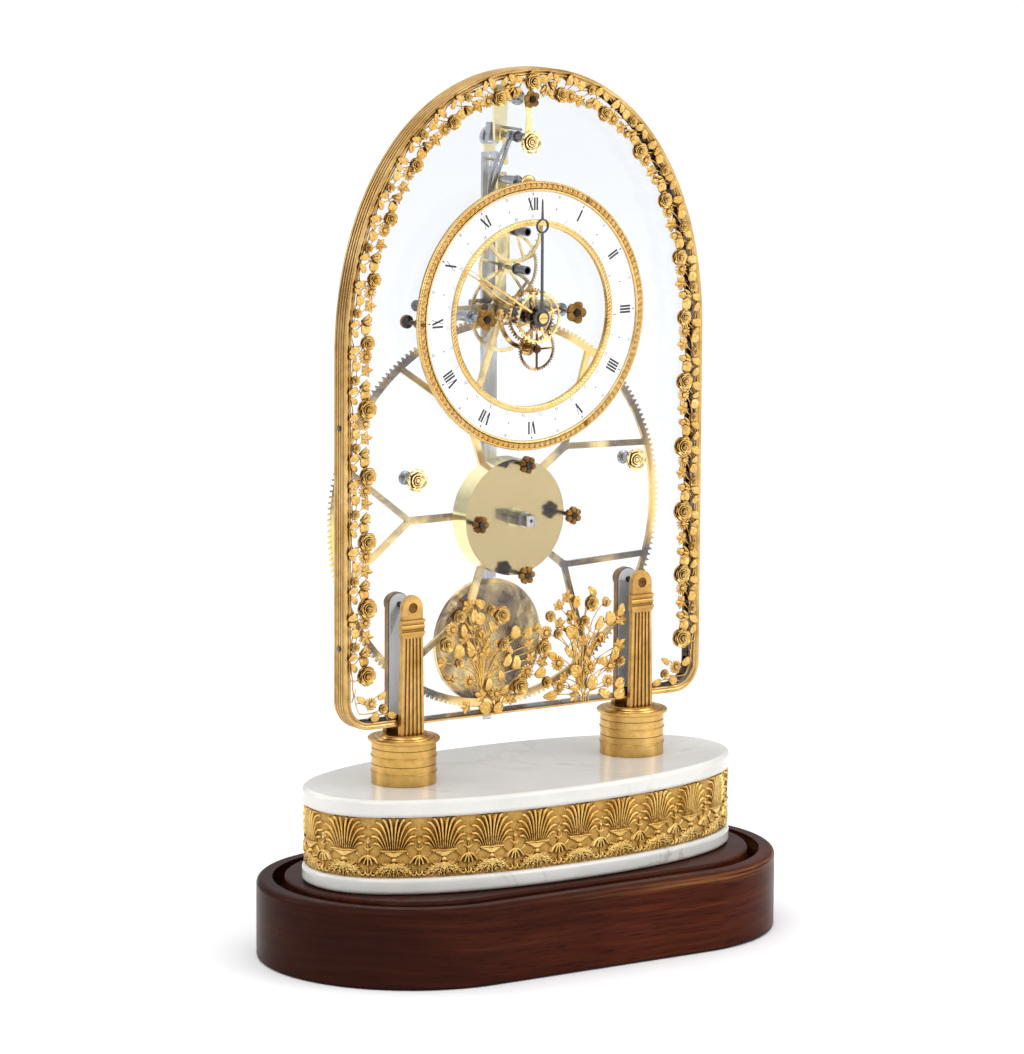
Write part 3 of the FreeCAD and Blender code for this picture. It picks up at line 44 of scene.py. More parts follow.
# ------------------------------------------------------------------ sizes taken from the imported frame, in millimetres


def mmbox(node):
    lo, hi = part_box(node)
    return np.array(lo) * 1000.0, np.array(hi) * 1000.0


enamel_lo, enamel_hi = mmbox("dial_enamel_ring")
bezel_lo, bezel_hi = mmbox("dial_bezel")
band_lo, band_hi = mmbox("frame_band")
glass_lo, glass_hi = mmbox("glass_plate")
frieze_lo, frieze_hi = mmbox("frieze_band")
RIM_T = float(mmbox("plinth_rim")[1][2]) * 0.001        # top of the plinth's rim, in metres
DZ = (enamel_lo[2] + enamel_hi[2]) / 2          # dial centre height
DFACE = enamel_lo[1]                            # front face of the enamel
GF = glass_lo[1]                                # front face of the glass
FW, FB, FT = band_hi[0], band_lo[2], band_hi[2]
FSPRING, FPOW, FCORNER = 302.3, 2.141, 15.0
TAU = 2 * math.pi


# ------------------------------------------------------------------ mesh gathering


class Build:
    """Gathers closed shells in millimetres and makes one object of them."""

    def __init__(self):
        self.v, self.f, self.m, self.n = [], [], [], 0

    def add(self, verts, faces, mat=0):
        verts = np.asarray(verts, float).reshape(-1, 3)
        self.v.append(verts)
        for f in faces:
            self.f.append([i + self.n for i in f])
        self.m += list(mat) if isinstance(mat, (list, np.ndarray)) else [mat] * len(faces)
        self.n += len(verts)

    def make(self, name, body, mats, smooth=True, node=None, angle=40):
        me = bpy.data.meshes.new(name)
        me.from_pydata((np.concatenate(self.v) * 0.001).tolist(), [], self.f)
        for m in mats:
            me.materials.append(m)
        me.polygons.foreach_set("material_index", self.m)
        me.validate(verbose=False)
        me.update()
        ob = bpy.data.objects.new(name, me)
        bpy.context.scene.collection.objects.link(ob)
        if smooth:
            me.polygons.foreach_set("use_smooth", [True] * len(me.polygons))
            me.set_sharp_from_angle(angle=math.radians(angle))
        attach(ob, body)
        for nd in ([node] if isinstance(node, str) else node or []):
            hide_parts(nd)
        return ob


def grid_faces(nu, nv, cu, cv, flip=False):
    """Quads of an nu x nv grid of points stored row by row."""
    out = []
    for i in range(nu if cu else nu - 1):
        i2 = (i + 1) % nu
        for j in range(nv if cv else nv - 1):
            j2 = (j + 1) % nv
            q = [i * nv + j, i2 * nv + j, i2 * nv + j2, i * nv + j2]
            out.append(q[::-1] if flip else q)
    return out


def sweep(path, tangent_frames, section):
    """path n x 3; frames n x (2 vectors); section m x 2 closed. A closed ring of sections."""
    P = path[:, None, :] + section[None, :, :1] * tangent_frames[0][:, None, :] + section[None, :, 1:] * tangent_frames[1][:, None, :]
    return P.reshape(-1, 3), grid_faces(len(path), len(section), True, True)


def tube(path, radius, sides=6):
    """A round wire along an open path, closed with caps. radius may be a number or one per point."""
    path = np.asarray(path, float)
    n = len(path)
    r = np.broadcast_to(np.asarray(radius, float), (n,))
    t = np.gradient(path, axis=0)
    t /= np.linalg.norm(t, axis=1)[:, None] + 1e-12
    ref = np.array([0, 1.0, 0])
    if abs(t[0] @ ref) > 0.9:
        ref = np.array([1.0, 0, 0])
    a = np.cross(t, ref)
    a /= np.linalg.norm(a, axis=1)[:, None] + 1e-12
    b = np.cross(t, a)
    ang = np.arange(sides) * TAU / sides
    P = path[:, None, :] + r[:, None, None] * (np.cos(ang)[None, :, None] * a[:, None, :] + np.sin(ang)[None, :, None] * b[:, None, :])
    v = np.concatenate([P.reshape(-1, 3), path[:1] - t[:1] * r[0] * 0.5, path[-1:] + t[-1:] * r[-1] * 0.5])
    f = grid_faces(n, sides, False, True)
    k = n * sides
    f += [[k, j, (j + 1) % sides] for j in range(sides)]
    f += [[k + 1, (n - 1) * sides + (j + 1) % sides, (n - 1) * sides + j] for j in range(sides)]
    return v, f


def bez(p0, p1, p2, n=9):
    t = np.linspace(0, 1, n)[:, None]
    return (1 - t) ** 2 * np.array(p0) + 2 * t * (1 - t) * np.array(p1) + t ** 2 * np.array(p2)


def turned(profile, n, cx, cz, about="y", cy=0.0, wobble=None):
    """A closed profile of (radius, height) turned right round. Height runs along Y or Z. wobble(angle, index) moves a profile point."""
    prof = np.asarray(profile, float)
    ang = np.arange(n) * TAU / n
    R = np.repeat(prof[None, :, 0], n, 0)
    H = np.repeat(prof[None, :, 1], n, 0)
    if wobble is not None:
        dR, dH = wobble(ang[:, None], np.arange(len(prof))[None, :])
        R, H = R + dR, H + dH
    if about == "y":
        P = np.stack([cx + R * np.sin(ang)[:, None], cy + H, cz + R * np.cos(ang)[:, None]], -1)
        return P.reshape(-1, 3), grid_faces(n, len(prof), True, True)
    P = np.stack([cx + R * np.cos(ang)[:, None], cy + R * np.sin(ang)[:, None], cz + H], -1)
    return P.reshape(-1, 3), grid_faces(n, len(prof), True, True)


def disc_relief(outline, top, thick=0.5, rings=(0.0, 0.25, 0.5, 0.72, 0.88, 1.0), centre=(0, 0)):
    """A closed little casting: outline is m points (u, v) round the centre, top(t, angle, u, v) the height over it."""
    outline = np.asarray(outline, float)
    m = len(outline)
    c = np.array(centre, float)
    ang = np.arctan2(outline[:, 1] - c[1], outline[:, 0] - c[0])
    V, F = [], []
    V.append([c[0], c[1], float(np.mean(top(np.zeros(1), np.zeros(1), c[:1], c[1:])))])
    for t in rings[1:]:
        p = c + (outline - c) * t
        w = top(np.full(m, t), ang, p[:, 0], p[:, 1])
        V += np.column_stack([p, w]).tolist()
    edge = 1 + (len(rings) - 2) * m
    F += [[0, 1 + j, 1 + (j + 1) % m] for j in range(m)]
    for k in range(len(rings) - 2):
        a, b = 1 + k * m, 1 + (k + 1) * m
        F += [[a + j, b + j, b + (j + 1) % m, a + (j + 1) % m] for j in range(m)]
    low = len(V)
    V += [[V[edge + j][0] * 0.97 + c[0] * 0.03, V[edge + j][1] * 0.97 + c[1] * 0.03, V[edge + j][2] - thick] for j in range(m)]
    V.append([c[0], c[1], min(v[2] for v in V[edge:edge + m]) - thick])
    F += [[edge + j, low + j, low + (j + 1) % m, edge + (j + 1) % m] for j in range(m)]
    F += [[low + m, low + (j + 1) % m, low + j] for j in range(m)]
    return np.array(V, float), F


def place(tmpl, x, z, turn=0.0, size=1.0, lift=0.0, tilt=(0.0, 0.0), flip=False, face=None):
    """Puts a template (u right, v up, w towards the viewer) on the front of the glass at x, z."""
    v, f = tmpl
    v = v * size
    if flip:
        v = v * np.array([-1, 1, 1])
        f = [q[::-1] for q in f]
    c, s = math.cos(turn), math.sin(turn)
    u, w2 = v[:, 0] * c - v[:, 1] * s, v[:, 0] * s + v[:, 1] * c
    h = v[:, 2] + lift + u * tilt[0] + w2 * tilt[1]
    y = (GF if face is None else face) - h
    return np.column_stack([x + u, y, z + w2]), f


# ------------------------------------------------------------------ flowers and leaves

A48 = np.arange(48) * TAU / 48


def ring_petals(n, r_out, depth, rise, cup, turn=0.0, thick=0.5, m=60, base=0.0, sharp=0.6):
    a = np.arange(m) * TAU / m
    lobe = np.abs(np.cos(n * (a - turn) / 2)) ** sharp
    r = r_out * (1 - depth + depth * lobe)
    out = np.column_stack([r * np.cos(a), r * np.sin(a)])

    def top(t, ang, u, v):
        lb = np.abs(np.cos(n * (ang - turn) / 2)) ** 0.8
        return base + rise * (1 - t ** 2) + cup * t ** 2 * (0.35 + 0.65 * lb) - 0.25 * r_out * 0.16 * (1 - lb) * t
    return disc_relief(out, top, thick)


def join(parts):
    V, F, n = [], [], 0
    for v, f in parts:
        V.append(np.asarray(v, float))
        F += [[i + n for i in q] for q in f]
        n += len(v)
    return np.concatenate(V), F


def petal_cup(r, n, out, w0, h, turn, spread):
    """n separate cupped petals standing round a centre."""
    parts = []
    for k in range(n):
        a0 = turn + TAU * k / n
        half = TAU / n * spread / 2
        us = np.linspace(-1, 1, 7)
        vs = np.linspace(0, 1, 5)
        P = []
        for side in (0, 1):
            for vv in vs:
                for uu in us:
                    a = a0 + uu * half * (0.55 + 0.45 * vv)
                    rr = r * (0.42 + 0.58 * math.sin(vv * 1.45)) * (1 - 0.10 * uu * uu * vv)
                    rr += (0.06 * r) * max(0.0, vv - 0.75) * 4 * (1 - abs(uu))
                    hh = w0 + h * (vv ** 0.8) * (1 - 0.35 * uu * uu) - (0.18 * h if vv > 0.9 else 0)
                    if side:
                        rr -= 0.13 * r
                        hh -= 0.10 * h * (1 - vv)
                    P.append([rr * math.cos(a), rr * math.sin(a), hh])
        nu, nv = len(us), len(vs)
        F = []
        for s_ in (0, 1):
            o = s_ * nu * nv
            for i in range(nv - 1):
                for j in range(nu - 1):
                    q = [o + i * nu + j, o + i * nu + j + 1, o + (i + 1) * nu + j + 1, o + (i + 1) * nu + j]
                    F.append(q if s_ == 0 else q[::-1])
        o = nu * nv
        for j in range(nu - 1):
            F.append([j, o + j, o + j + 1, j + 1])
            k2 = (nv - 1) * nu
            F.append([k2 + j + 1, o + k2 + j + 1, o + k2 + j, k2 + j])
        for i in range(nv - 1):
            F.append([(i + 1) * nu, o + (i + 1) * nu, o + i * nu, i * nu])
            e = nu - 1
            F.append([i * nu + e, o + i * nu + e, o + (i + 1) * nu + e, (i + 1) * nu + e])
        parts.append((np.array(P), F))
    return join(parts)


def rose(r=1.0, seed=0):
    g = np.random.default_rng(seed)
    t0 = g.uniform(0, TAU)
    parts = [ring_petals(5, 1.0, 0.20, 0.16, 0.24, t0, 0.18, base=0.10, sharp=0.55),
             ring_petals(5, 0.86, 0.16, 0.20, 0.40, t0 + 0.62, 0.16, base=0.20, sharp=0.55),
             petal_cup(0.68, 5, 0, 0.30, 0.34, t0 + 0.2, 1.25),
             petal_cup(0.47, 4, 0, 0.36, 0.36, t0 + 0.9, 1.3),
             petal_cup(0.28, 3, 0, 0.42, 0.36, t0 + 1.6, 1.3)]
    # the tight heart
    th = np.linspace(0, 2.2 * TAU, 26)
    rr = 0.20 * (1 - 0.75 * th / th[-1])
    parts.append(tube(np.column_stack([rr * np.cos(th + t0), rr * np.sin(th + t0), 0.70 + 0.10 * th / th[-1]]), 0.055, 5))
    v, f = join(parts)
    return v * r, f


def daisy(r=1.0, n=13, seed=0):
    g = np.random.default_rng(seed)
    parts = []
    t0 = g.uniform(0, TAU)
    for k in range(n):
        a = t0 + TAU * k / n
        ln = 1.0 * g.uniform(0.93, 1.05)
        uu = np.array([0.0, 0.25, 0.55, 0.8, 0.95, 1.0, 0.95, 0.8, 0.55, 0.25])
        ww = np.array([0.05, 0.08, 0.125, 0.14, 0.085, 0.0, -0.085, -0.14, -0.125, -0.08])
        px, py = 0.22 + uu * (ln - 0.22), ww * 1.05
        out = np.column_stack([px, py])
        v, f = disc_relief(out, lambda t, an, u, v_: 0.26 + 0.10 * (1 - t ** 2) - 0.10 * np.clip(u, 0, 1) + 0.03 * np.abs(v_) / 0.14, 0.12, rings=(0, 0.5, 0.85, 1.0), centre=(0.6, 0))
        c, s = math.cos(a), math.sin(a)
        v = np.column_stack([v[:, 0] * c - v[:, 1] * s, v[:, 0] * s + v[:, 1] * c, v[:, 2]])
        parts.append((v, f))
    m = 20
    a = np.arange(m) * TAU / m
    out = np.column_stack([0.34 * np.cos(a), 0.34 * np.sin(a)])
    parts.append(disc_relief(out, lambda t, an, u, v_: 0.34 + 0.20 * np.sqrt(np.clip(1 - t ** 2, 0, 1)) + 0.03 * np.cos(an * 7) * (t > 0.3), 0.3, rings=(0, 0.3, 0.55, 0.8, 1.0)))
    v, f = join(parts)
    return v * r, f


def oval_leaf(ln=1.0, wd=0.6, serr=0.06, teeth=9, point=1.0, bend=0.0):
    """Base at the origin, tip at (0, ln)."""
    m = 56
    t = np.linspace(0, TAU, m, endpoint=False)
    v_ = 0.5 * (1 - np.cos(t))
    u_ = wd / 2 * np.sin(t) * (1.12 - 0.35 * v_ * point)
    saw = 1 + serr * (((t * teeth / math.pi) % 1.0) - 0.5) * np.sign(np.pi - t)
    u_ = u_ * saw
    out = np.column_stack([u_, v_])

    def top(tt, ang, u, v):
        mid = np.exp(-(u / (0.07 * wd)) ** 2)
        veins = 0.5 + 0.5 * np.cos((v * 9 - np.abs(u) * 9) * 2.2)
        edge = np.clip(1 - tt, 0, 1)
        return 0.10 + 0.22 * np.abs(u) / (wd / 2) * 0.35 + 0.10 * edge + 0.035 * veins * (tt > 0.2) * (tt < 0.97) + 0.05 * mid + 0.10 * np.sin(v * math.pi) + bend * v * v
    v, f = disc_relief(out, top, 0.12, rings=(0.0, 0.2, 0.4, 0.6, 0.8, 0.93, 1.0), centre=(0, 0.45))
    return v * ln, f


def ivy_leaf(r=1.0):
    m = 80
    a = np.arange(m) * TAU / m
    dirs = np.radians([90, 30, 150, -28, 208])
    reach = np.array([1.0, 0.92, 0.92, 0.72, 0.72])
    rad = np.full(m, 0.46)
    for d_, q in zip(dirs, reach):
        dd = np.abs((a - d_ + math.pi) % TAU - math.pi)
        rad = np.maximum(rad, q * np.clip(1 - dd / 0.62, 0, 1) ** 0.72 * 0.62 + 0.40 * q * (dd < 0.62))
    dd = np.abs((a + math.pi / 2 + math.pi) % TAU - math.pi)
    rad = np.where(dd < 0.25, np.minimum(rad, 0.25 + dd), rad)
    rad = rad * (1 + 0.03 * np.sin(a * 17))
    out = np.column_stack([rad * np.cos(a), rad * np.sin(a)])

    def top(t, ang, u, v):
        h = 0.14 + 0.14 * (1 - t ** 2)
        for d_ in dirs:
            dd_ = np.abs((ang - d_ + math.pi) % TAU - math.pi)
            h = h + 0.07 * np.exp(-(dd_ * t / 0.07) ** 2) * (t > 0.05)
        return h + 0.05 * np.cos(ang * 5 - math.pi / 2) * t
    v, f = disc_relief(out, top, 0.12, rings=(0.0, 0.2, 0.4, 0.6, 0.8, 0.93, 1.0))
    return v * r, f


def bud(r=1.0):
    """A closed bud held by three pointed sepals; stalk end at the origin, pointing up."""
    parts = []
    m = 18
    a = np.arange(m) * TAU / m
    out = np.column_stack([0.36 * np.sin(a), 0.62 - 0.50 * np.cos(a) * (1 + 0.1 * np.cos(a))])
    parts.append(disc_relief(out, lambda t, an, u, v: 0.10 + 0.42 * np.sqrt(np.clip(1 - t ** 2, 0, 1)) + 0.05 * np.cos(u * 22), 0.12, rings=(0, 0.3, 0.55, 0.75, 0.9, 1.0), centre=(0, 0.62)))
    for lean, ln in ((-0.62, 0.98), (0.62, 0.98), (0.0, 0.80)):
        v, f = oval_leaf(ln, 0.34, 0.0, 5, 1.6)
        v[:, 2] += 0.16 + (0.30 if lean == 0 else 0.10)
        c, s = math.cos(lean), math.sin(lean)
        parts.append((np.column_stack([v[:, 0] * c + v[:, 1] * s, -v[:, 0] * s + v[:, 1] * c, v[:, 2]]), f))
    out = np.column_stack([0.2 * np.cos(a), 0.14 + 0.2 * np.sin(a)])
    parts.append(disc_relief(out, lambda t, an, u, v: 0.12 + 0.28 * np.sqrt(np.clip(1 - t ** 2, 0, 1)), 0.12, rings=(0, 0.5, 0.8, 1.0), centre=(0, 0.14)))
    v, f = join(parts)
    v[:, 1] -= 0.5
    return v * r, f


ROSES = [rose(1.0, s) for s in range(5)]
DAISIES = [daisy(1.0, n, s) for n, s in ((13, 1), (12, 2), (14, 3))]
LEAF = oval_leaf(1.0, 0.62, 0.05, 9, 0.9)
ROUND = oval_leaf(1.0, 0.80, 0.10, 7, 0.4)
SERR = oval_leaf(1.0, 0.58, 0.26, 7, 0.9)
IVY = ivy_leaf(1.0)
BUD = bud(1.0)


def centred(t):
    v, f = t
    v = v.copy()
    v[:, 1] -= 0.5
    return v, f


# ------------------------------------------------------------------ outline of the plate


def outline(n=900):
    W, zb, zs, zt, pw, rc = FW, FB, FSPRING, FT, FPOW, FCORNER
    pts = []
    pts += [(-W, z) for z in np.linspace(zb + rc, zs, 160, endpoint=False)]
    t = np.linspace(math.pi, 0, 420)
    c, s = np.cos(t), np.sin(t)
    ax, az = W * np.sign(c) * np.abs(c) ** (2 / pw), zs + (zt - zs) * np.abs(s) ** (2 / pw)
    pts += list(zip(ax, az))
    pts += [(W, z) for z in np.linspace(zs, zb + rc, 160)[1:]]
    k = np.radians(np.linspace(0, -90, 16))[1:]
    pts += [(W - rc + rc * math.cos(q), zb + rc + rc * math.sin(q)) for q in k]
    pts += [(x, zb) for x in np.linspace(W - rc, -(W - rc), 120)[1:]]
    k = np.radians(np.linspace(-90, -180, 16))[1:-1]
    pts += [(-(W - rc) + rc * math.cos(q), zb + rc + rc * math.sin(q)) for q in k]
    P = np.array(pts)
    d = np.linalg.norm(np.diff(np.vstack([P, P[:1]]), axis=0), axis=1)
    S = np.concatenate([[0], np.cumsum(d)])
    q = np.linspace(0, S[-1], n, endpoint=False)
    PP = np.vstack([P, P[:1]])
    out = np.column_stack([np.interp(q, S, PP[:, 0]), np.interp(q, S, PP[:, 1])])
    t = np.roll(out, -1, 0) - np.roll(out, 1, 0)
    t /= np.linalg.norm(t, axis=1)[:, None]
    nrm = np.column_stack([-t[:, 1], t[:, 0]])
    return out, nrm, q, S[-1]


OUT, NRM, OS, OLEN = outline()
SIDE_LEN = 734.9


def along(s, inset, mirror=False):
    """Point s mm from the lower left corner, clockwise, inset mm inside the edge; and the heading angle there."""
    x = np.interp(s, OS, OUT[:, 0]) - inset * np.interp(s, OS, NRM[:, 0])
    z = np.interp(s, OS, OUT[:, 1]) - inset * np.interp(s, OS, NRM[:, 1])
    nx, nz = np.interp(s, OS, NRM[:, 0]), np.interp(s, OS, NRM[:, 1])
    head = math.atan2(-nx, nz)          # turns template 'up' to point outwards
    if mirror:
        return -x, z, -head
    return x, z, head


# ------------------------------------------------------------------ materials


class Mat:
    def __init__(self, name):
        self.m = bpy.data.materials.new(name)
        self.m.use_nodes = True
        self.t = self.m.node_tree
        self.t.nodes.clear()
        self.out = self.t.nodes.new("ShaderNodeOutputMaterial")

    def n(self, kind, props=None, **ins):
        nd = self.t.nodes.new("ShaderNode" + kind)
        for k, v in (props or {}).items():
            setattr(nd, k, v)
        for k, v in ins.items():
            key = int(k[1:]) if k[0] == "_" and k[1:].isdigit() else k.replace("_", " ")
            s = nd.inputs[key]
            if isinstance(v, bpy.types.NodeSocket):
                self.t.links.new(v, s)
            else:
                s.default_value = v
        return nd

    def coord(self, sx=1.0, sy=1.0, sz=1.0, loc=(0, 0, 0)):
        tc = self.n("TexCoord")
        return self.n("Mapping", None, Vector=tc.outputs["Object"], Scale=(sx, sy, sz), Location=loc).outputs[0]

    def noise(self, vec, scale, detail=3.0, rough=0.55, dist=0.0):
        return self.n("TexNoise", None, Vector=vec, Scale=scale, Detail=detail, Roughness=rough, Distortion=dist).outputs[0]

    def ramp(self, fac, stops, interp="LINEAR"):
        nd = self.n("ValToRGB", None, Fac=fac)
        el = nd.color_ramp.elements
        nd.color_ramp.interpolation = interp
        while len(el) < len(stops):
            el.new(0.5)
        for e, (p, c) in zip(el, stops):
            e.position = p
            e.color = tuple(c) + (1.0,) if len(c) == 3 else tuple(c)
        return nd.outputs[0]

    def grey(self, fac, p0, v0, p1, v1):
        return self.ramp(fac, [(p0, (v0,) * 3), (p1, (v1,) * 3)])

    def mix(self, fac, a, b, kind="MIX"):
        return self.n("MixRGB", {"blend_type": kind}, Fac=fac, Color1=a if not isinstance(a, tuple) else a + (1.0,), Color2=b if not isinstance(b, tuple) else b + (1.0,)).outputs[0]

    def math(self, op, a, b=0.5):
        nd = self.n("Math", {"operation": op})
        for i, v in enumerate((a, b)):
            if isinstance(v, bpy.types.NodeSocket):
                self.t.links.new(v, nd.inputs[i])
            else:
                nd.inputs[i].default_value = v
        return nd.outputs[0]

    def bump(self, h, strength, dist=0.0002, normal=None):
        kw = dict(Height=h, Strength=strength, Distance=dist)
        if normal is not None:
            kw["Normal"] = normal
        return self.n("Bump", None, **kw).outputs[0]

    def ao(self, dist, samples=4):
        return self.n("AmbientOcclusion", {"samples": samples}, Distance=dist).outputs["AO"]

    def shade(self, **ins):
        p = self.n("BsdfPrincipled", None, **ins)
        self.t.links.new(p.outputs[0], self.out.inputs[0])
        return self.m


def gilt(name, base, light, dark, rough0, rough1, grain=900.0, grain_amt=0.35, ao_dist=0.0022, ao_lo=0.25, ao_hi=0.85, mottle=55.0, brush=None):
    m = Mat(name)
    c = m.coord()
    a = m.noise(c, mottle, 4.0, 0.6)
    b = m.noise(c, mottle * 6, 3.0, 0.6)
    col = m.mix(m.grey(a, 0.35, 0.0, 0.68, 1.0), base, light)
    col = m.mix(m.math("MULTIPLY", m.grey(b, 0.42, 0.0, 0.75, 1.0), 0.35), col, dark)
    # painted shade: the ambient occlusion node darkens recesses and creases towards the dark colour
    painted_recess_shade = m.ao(ao_dist)
    col = m.mix(m.grey(painted_recess_shade, ao_lo, 1.0, ao_hi, 0.0), col, dark)
    r = m.mix(a, (rough0,) * 3, (rough1,) * 3)
    g = m.noise(c, grain, 2.0, 0.6)
    h = g
    if brush:
        cb = m.coord(*brush)
        h = m.math("ADD", m.math("MULTIPLY", g, 0.4), m.noise(cb, 1.0, 2.0, 0.6))
    nrm = m.bump(h, grain_amt, 0.00012)
    return m.shade(Base_Color=col, Metallic=1.0, Roughness=r, Normal=nrm)


ormolu = gilt("ormolu_matte", (0.74, 0.43, 0.105), (0.92, 0.62, 0.22), (0.19, 0.08, 0.016), 0.32, 0.44, ao_lo=0.30, ao_hi=0.92)
ormolu_frieze = gilt("ormolu_chased", (0.76, 0.47, 0.125), (0.92, 0.64, 0.24), (0.16, 0.07, 0.014), 0.26, 0.38, ao_dist=0.0013, ao_lo=0.32, ao_hi=0.92)
ormolu_ground = gilt("ormolu_frosted_ground", (0.52, 0.31, 0.080), (0.64, 0.40, 0.12), (0.10, 0.045, 0.010), 0.50, 0.62, grain=1500.0, grain_amt=0.5, ao_dist=0.0014, ao_lo=0.35, ao_hi=0.92)
ormolu_fine = gilt("ormolu_burnished", (0.82, 0.52, 0.16), (0.93, 0.67, 0.29), (0.26, 0.115, 0.025), 0.20, 0.32, grain=500.0, grain_amt=0.15, ao_dist=0.0012, ao_lo=0.35, ao_hi=0.95)
ormolu_pale = gilt("ormolu_pale", (0.93, 0.68, 0.30), (1.0, 0.84, 0.48), (0.30, 0.14, 0.03), 0.16, 0.28, grain=500.0, grain_amt=0.15, ao_dist=0.0010, ao_lo=0.3, ao_hi=0.85)
ormolu_drum = gilt("ormolu_turned", (0.62, 0.37, 0.10), (0.79, 0.51, 0.175), (0.25, 0.11, 0.025), 0.24, 0.36, grain=300.0, grain_amt=0.16, ao_dist=0.0012, mottle=38.0, brush=(60.0, 60.0, 2600.0))
ormolu_pil = gilt("ormolu_fluted", (0.49, 0.26, 0.062), (0.78, 0.48, 0.16), (0.12, 0.05, 0.012), 0.30, 0.44, grain=600.0, grain_amt=0.2, ao_dist=0.0016, ao_lo=0.35, ao_hi=0.95, mottle=45.0, brush=(1800.0, 200.0, 70.0))
ormolu_band = gilt("ormolu_reeded", (0.52, 0.30, 0.092), (0.80, 0.54, 0.22), (0.11, 0.05, 0.014), 0.22, 0.34, grain=400.0, grain_amt=0.15, ao_dist=0.0014, ao_lo=0.42, ao_hi=0.97, mottle=30.0)
brown = gilt("bronzed_brass", (0.20, 0.095, 0.024), (0.42, 0.23, 0.060), (0.030, 0.013, 0.005), 0.34, 0.46, grain=900.0, grain_amt=0.25, ao_dist=0.002, mottle=120.0)
brown_dark = gilt("bronzed_dark", (0.105, 0.045, 0.016), (0.30, 0.15, 0.045), (0.018, 0.008, 0.004), 0.26, 0.40, grain=900.0, grain_amt=0.2, ao_dist=0.002, mottle=150.0)


def brass(name, base, light, tarnish_and_recess_shade, amount, rough0=0.16, rough1=0.30, grain=260.0, pits=False, scale=26.0, ring=None):
    m = Mat(name)
    c = m.coord()
    a = m.noise(c, scale, 5.0, 0.62, 0.6)
    b = m.noise(c, scale * 7, 3.0, 0.6)
    col = m.mix(m.grey(b, 0.35, 0.0, 0.7, 1.0), base, light)
    col = m.mix(m.grey(a, 0.62 - amount * 0.3, 0.0, 0.70 - amount * 0.2, 1.0), col, tarnish_and_recess_shade)
    r = m.mix(m.grey(a, 0.4, 0.0, 0.75, 1.0), (rough0,) * 3, (rough1 + 0.1,) * 3)
    h = m.noise(c, grain, 2.0, 0.6)
    if ring is not None:
        # fine turning marks round an axis along Y at the given height
        tc = m.n("TexCoord")
        sep = m.n("SeparateXYZ", None, Vector=tc.outputs["Object"])
        dz = m.math("SUBTRACT", sep.outputs[2], ring)
        rad = m.math("SQRT", m.math("ADD", m.math("MULTIPLY", sep.outputs[0], sep.outputs[0]), m.math("MULTIPLY", dz, dz)), 0.0)
        comb = m.n("CombineXYZ", None, X=m.math("MULTIPLY", rad, 2200.0))
        h = m.math("ADD", m.math("MULTIPLY", h, 0.5), m.noise(comb.outputs[0], 1.0, 2.0, 0.7))
    nrm = m.bump(h, 0.10, 0.00010)
    if pits:
        vo = m.n("TexVoronoi", None, Vector=c, Scale=420.0, Randomness=1.0)
        spot = m.grey(vo.outputs["Distance"], 0.05, 1.0, 0.14, 0.0)
        keep = m.grey(m.noise(c, 45.0, 2.0), 0.48, 0.0, 0.58, 1.0)
        sp = m.math("MULTIPLY", spot, keep)
        col = m.mix(sp, col, tarnish_and_recess_shade)
        nrm = m.bump(m.math("MULTIPLY", sp, -1.0), 0.5, 0.0002, nrm)
    # painted shade: the ambient occlusion node darkens recesses towards the tarnish colour, on top of the real tarnish
    # patches and pits above
    painted_recess_shade = m.ao(0.0015)
    col = m.mix(m.grey(painted_recess_shade, 0.2, 0.8, 0.8, 0.0), col, tarnish_and_recess_shade)
    return m.shade(Base_Color=col, Metallic=1.0, Roughness=r, Normal=nrm)


brass_pale = brass("brass_barrel", (0.98, 0.82, 0.36), (1.0, 0.88, 0.46), (0.30, 0.17, 0.05), -0.10, 0.08, 0.10, 60.0, pits=True, ring=0.2159)
brass_wheel = brass("brass_wheels", (0.86, 0.61, 0.22), (0.94, 0.74, 0.34), (0.40, 0.25, 0.09), 0.35, 0.16, 0.28)
brass_great = brass("brass_great_wheel", (0.88, 0.58, 0.18), (0.95, 0.70, 0.28), (0.15, 0.125, 0.115), 0.56, 0.18, 0.28, scale=15.0)
brass_dark = brass("brass_motion", (0.52, 0.32, 0.11), (0.80, 0.55, 0.22), (0.10, 0.045, 0.02), 0.7, 0.16, 0.3, scale=90.0)
brass_bob = brass("brass_bob", (0.84, 0.60, 0.24), (0.94, 0.73, 0.34), (0.13, 0.062, 0.032), 0.50, 0.17, 0.28, scale=34.0, ring=0.149)
brass_plate = brass("brass_plates", (0.86, 0.72, 0.36), (0.95, 0.84, 0.50), (0.38, 0.27, 0.12), 0.15, 0.22, 0.34, pits=True)


def steel(name, base, dark, rough0, rough1, brush=(300.0, 300.0, 12.0), amount=0.5, coat=0.0, front=None):
    m = Mat(name)
    c = m.coord()
    cb = m.coord(*brush)
    a = m.noise(c, 40.0, 5.0, 0.65)
    s = m.noise(cb, 3.0, 3.0, 0.6)
    col = m.mix(m.grey(s, 0.3, 0.0, 0.7, 1.0), dark, base)
    col = m.mix(m.math("MULTIPLY", m.grey(a, 0.5, 0.0, 0.75, 1.0), amount), col, dark)
    if front is not None:
        # painted shade: in front of the given depth the part is painted near-black, so the stud ends in the slotted
        # nuts read as shaded slots
        yy = m.n("SeparateXYZ", None, Vector=m.n("TexCoord").outputs["Object"]).outputs[1]
        col = m.mix(m.math("LESS_THAN", yy, front), col, (0.035, 0.028, 0.024))
    r = m.mix(a, (rough0,) * 3, (rough1,) * 3)
    nrm = m.bump(m.math("ADD", s, m.noise(c, 700.0, 2.0)), 0.12, 0.00012)
    return m.shade(Base_Color=col, Metallic=1.0, Roughness=r, Normal=nrm, Coat_Weight=coat)


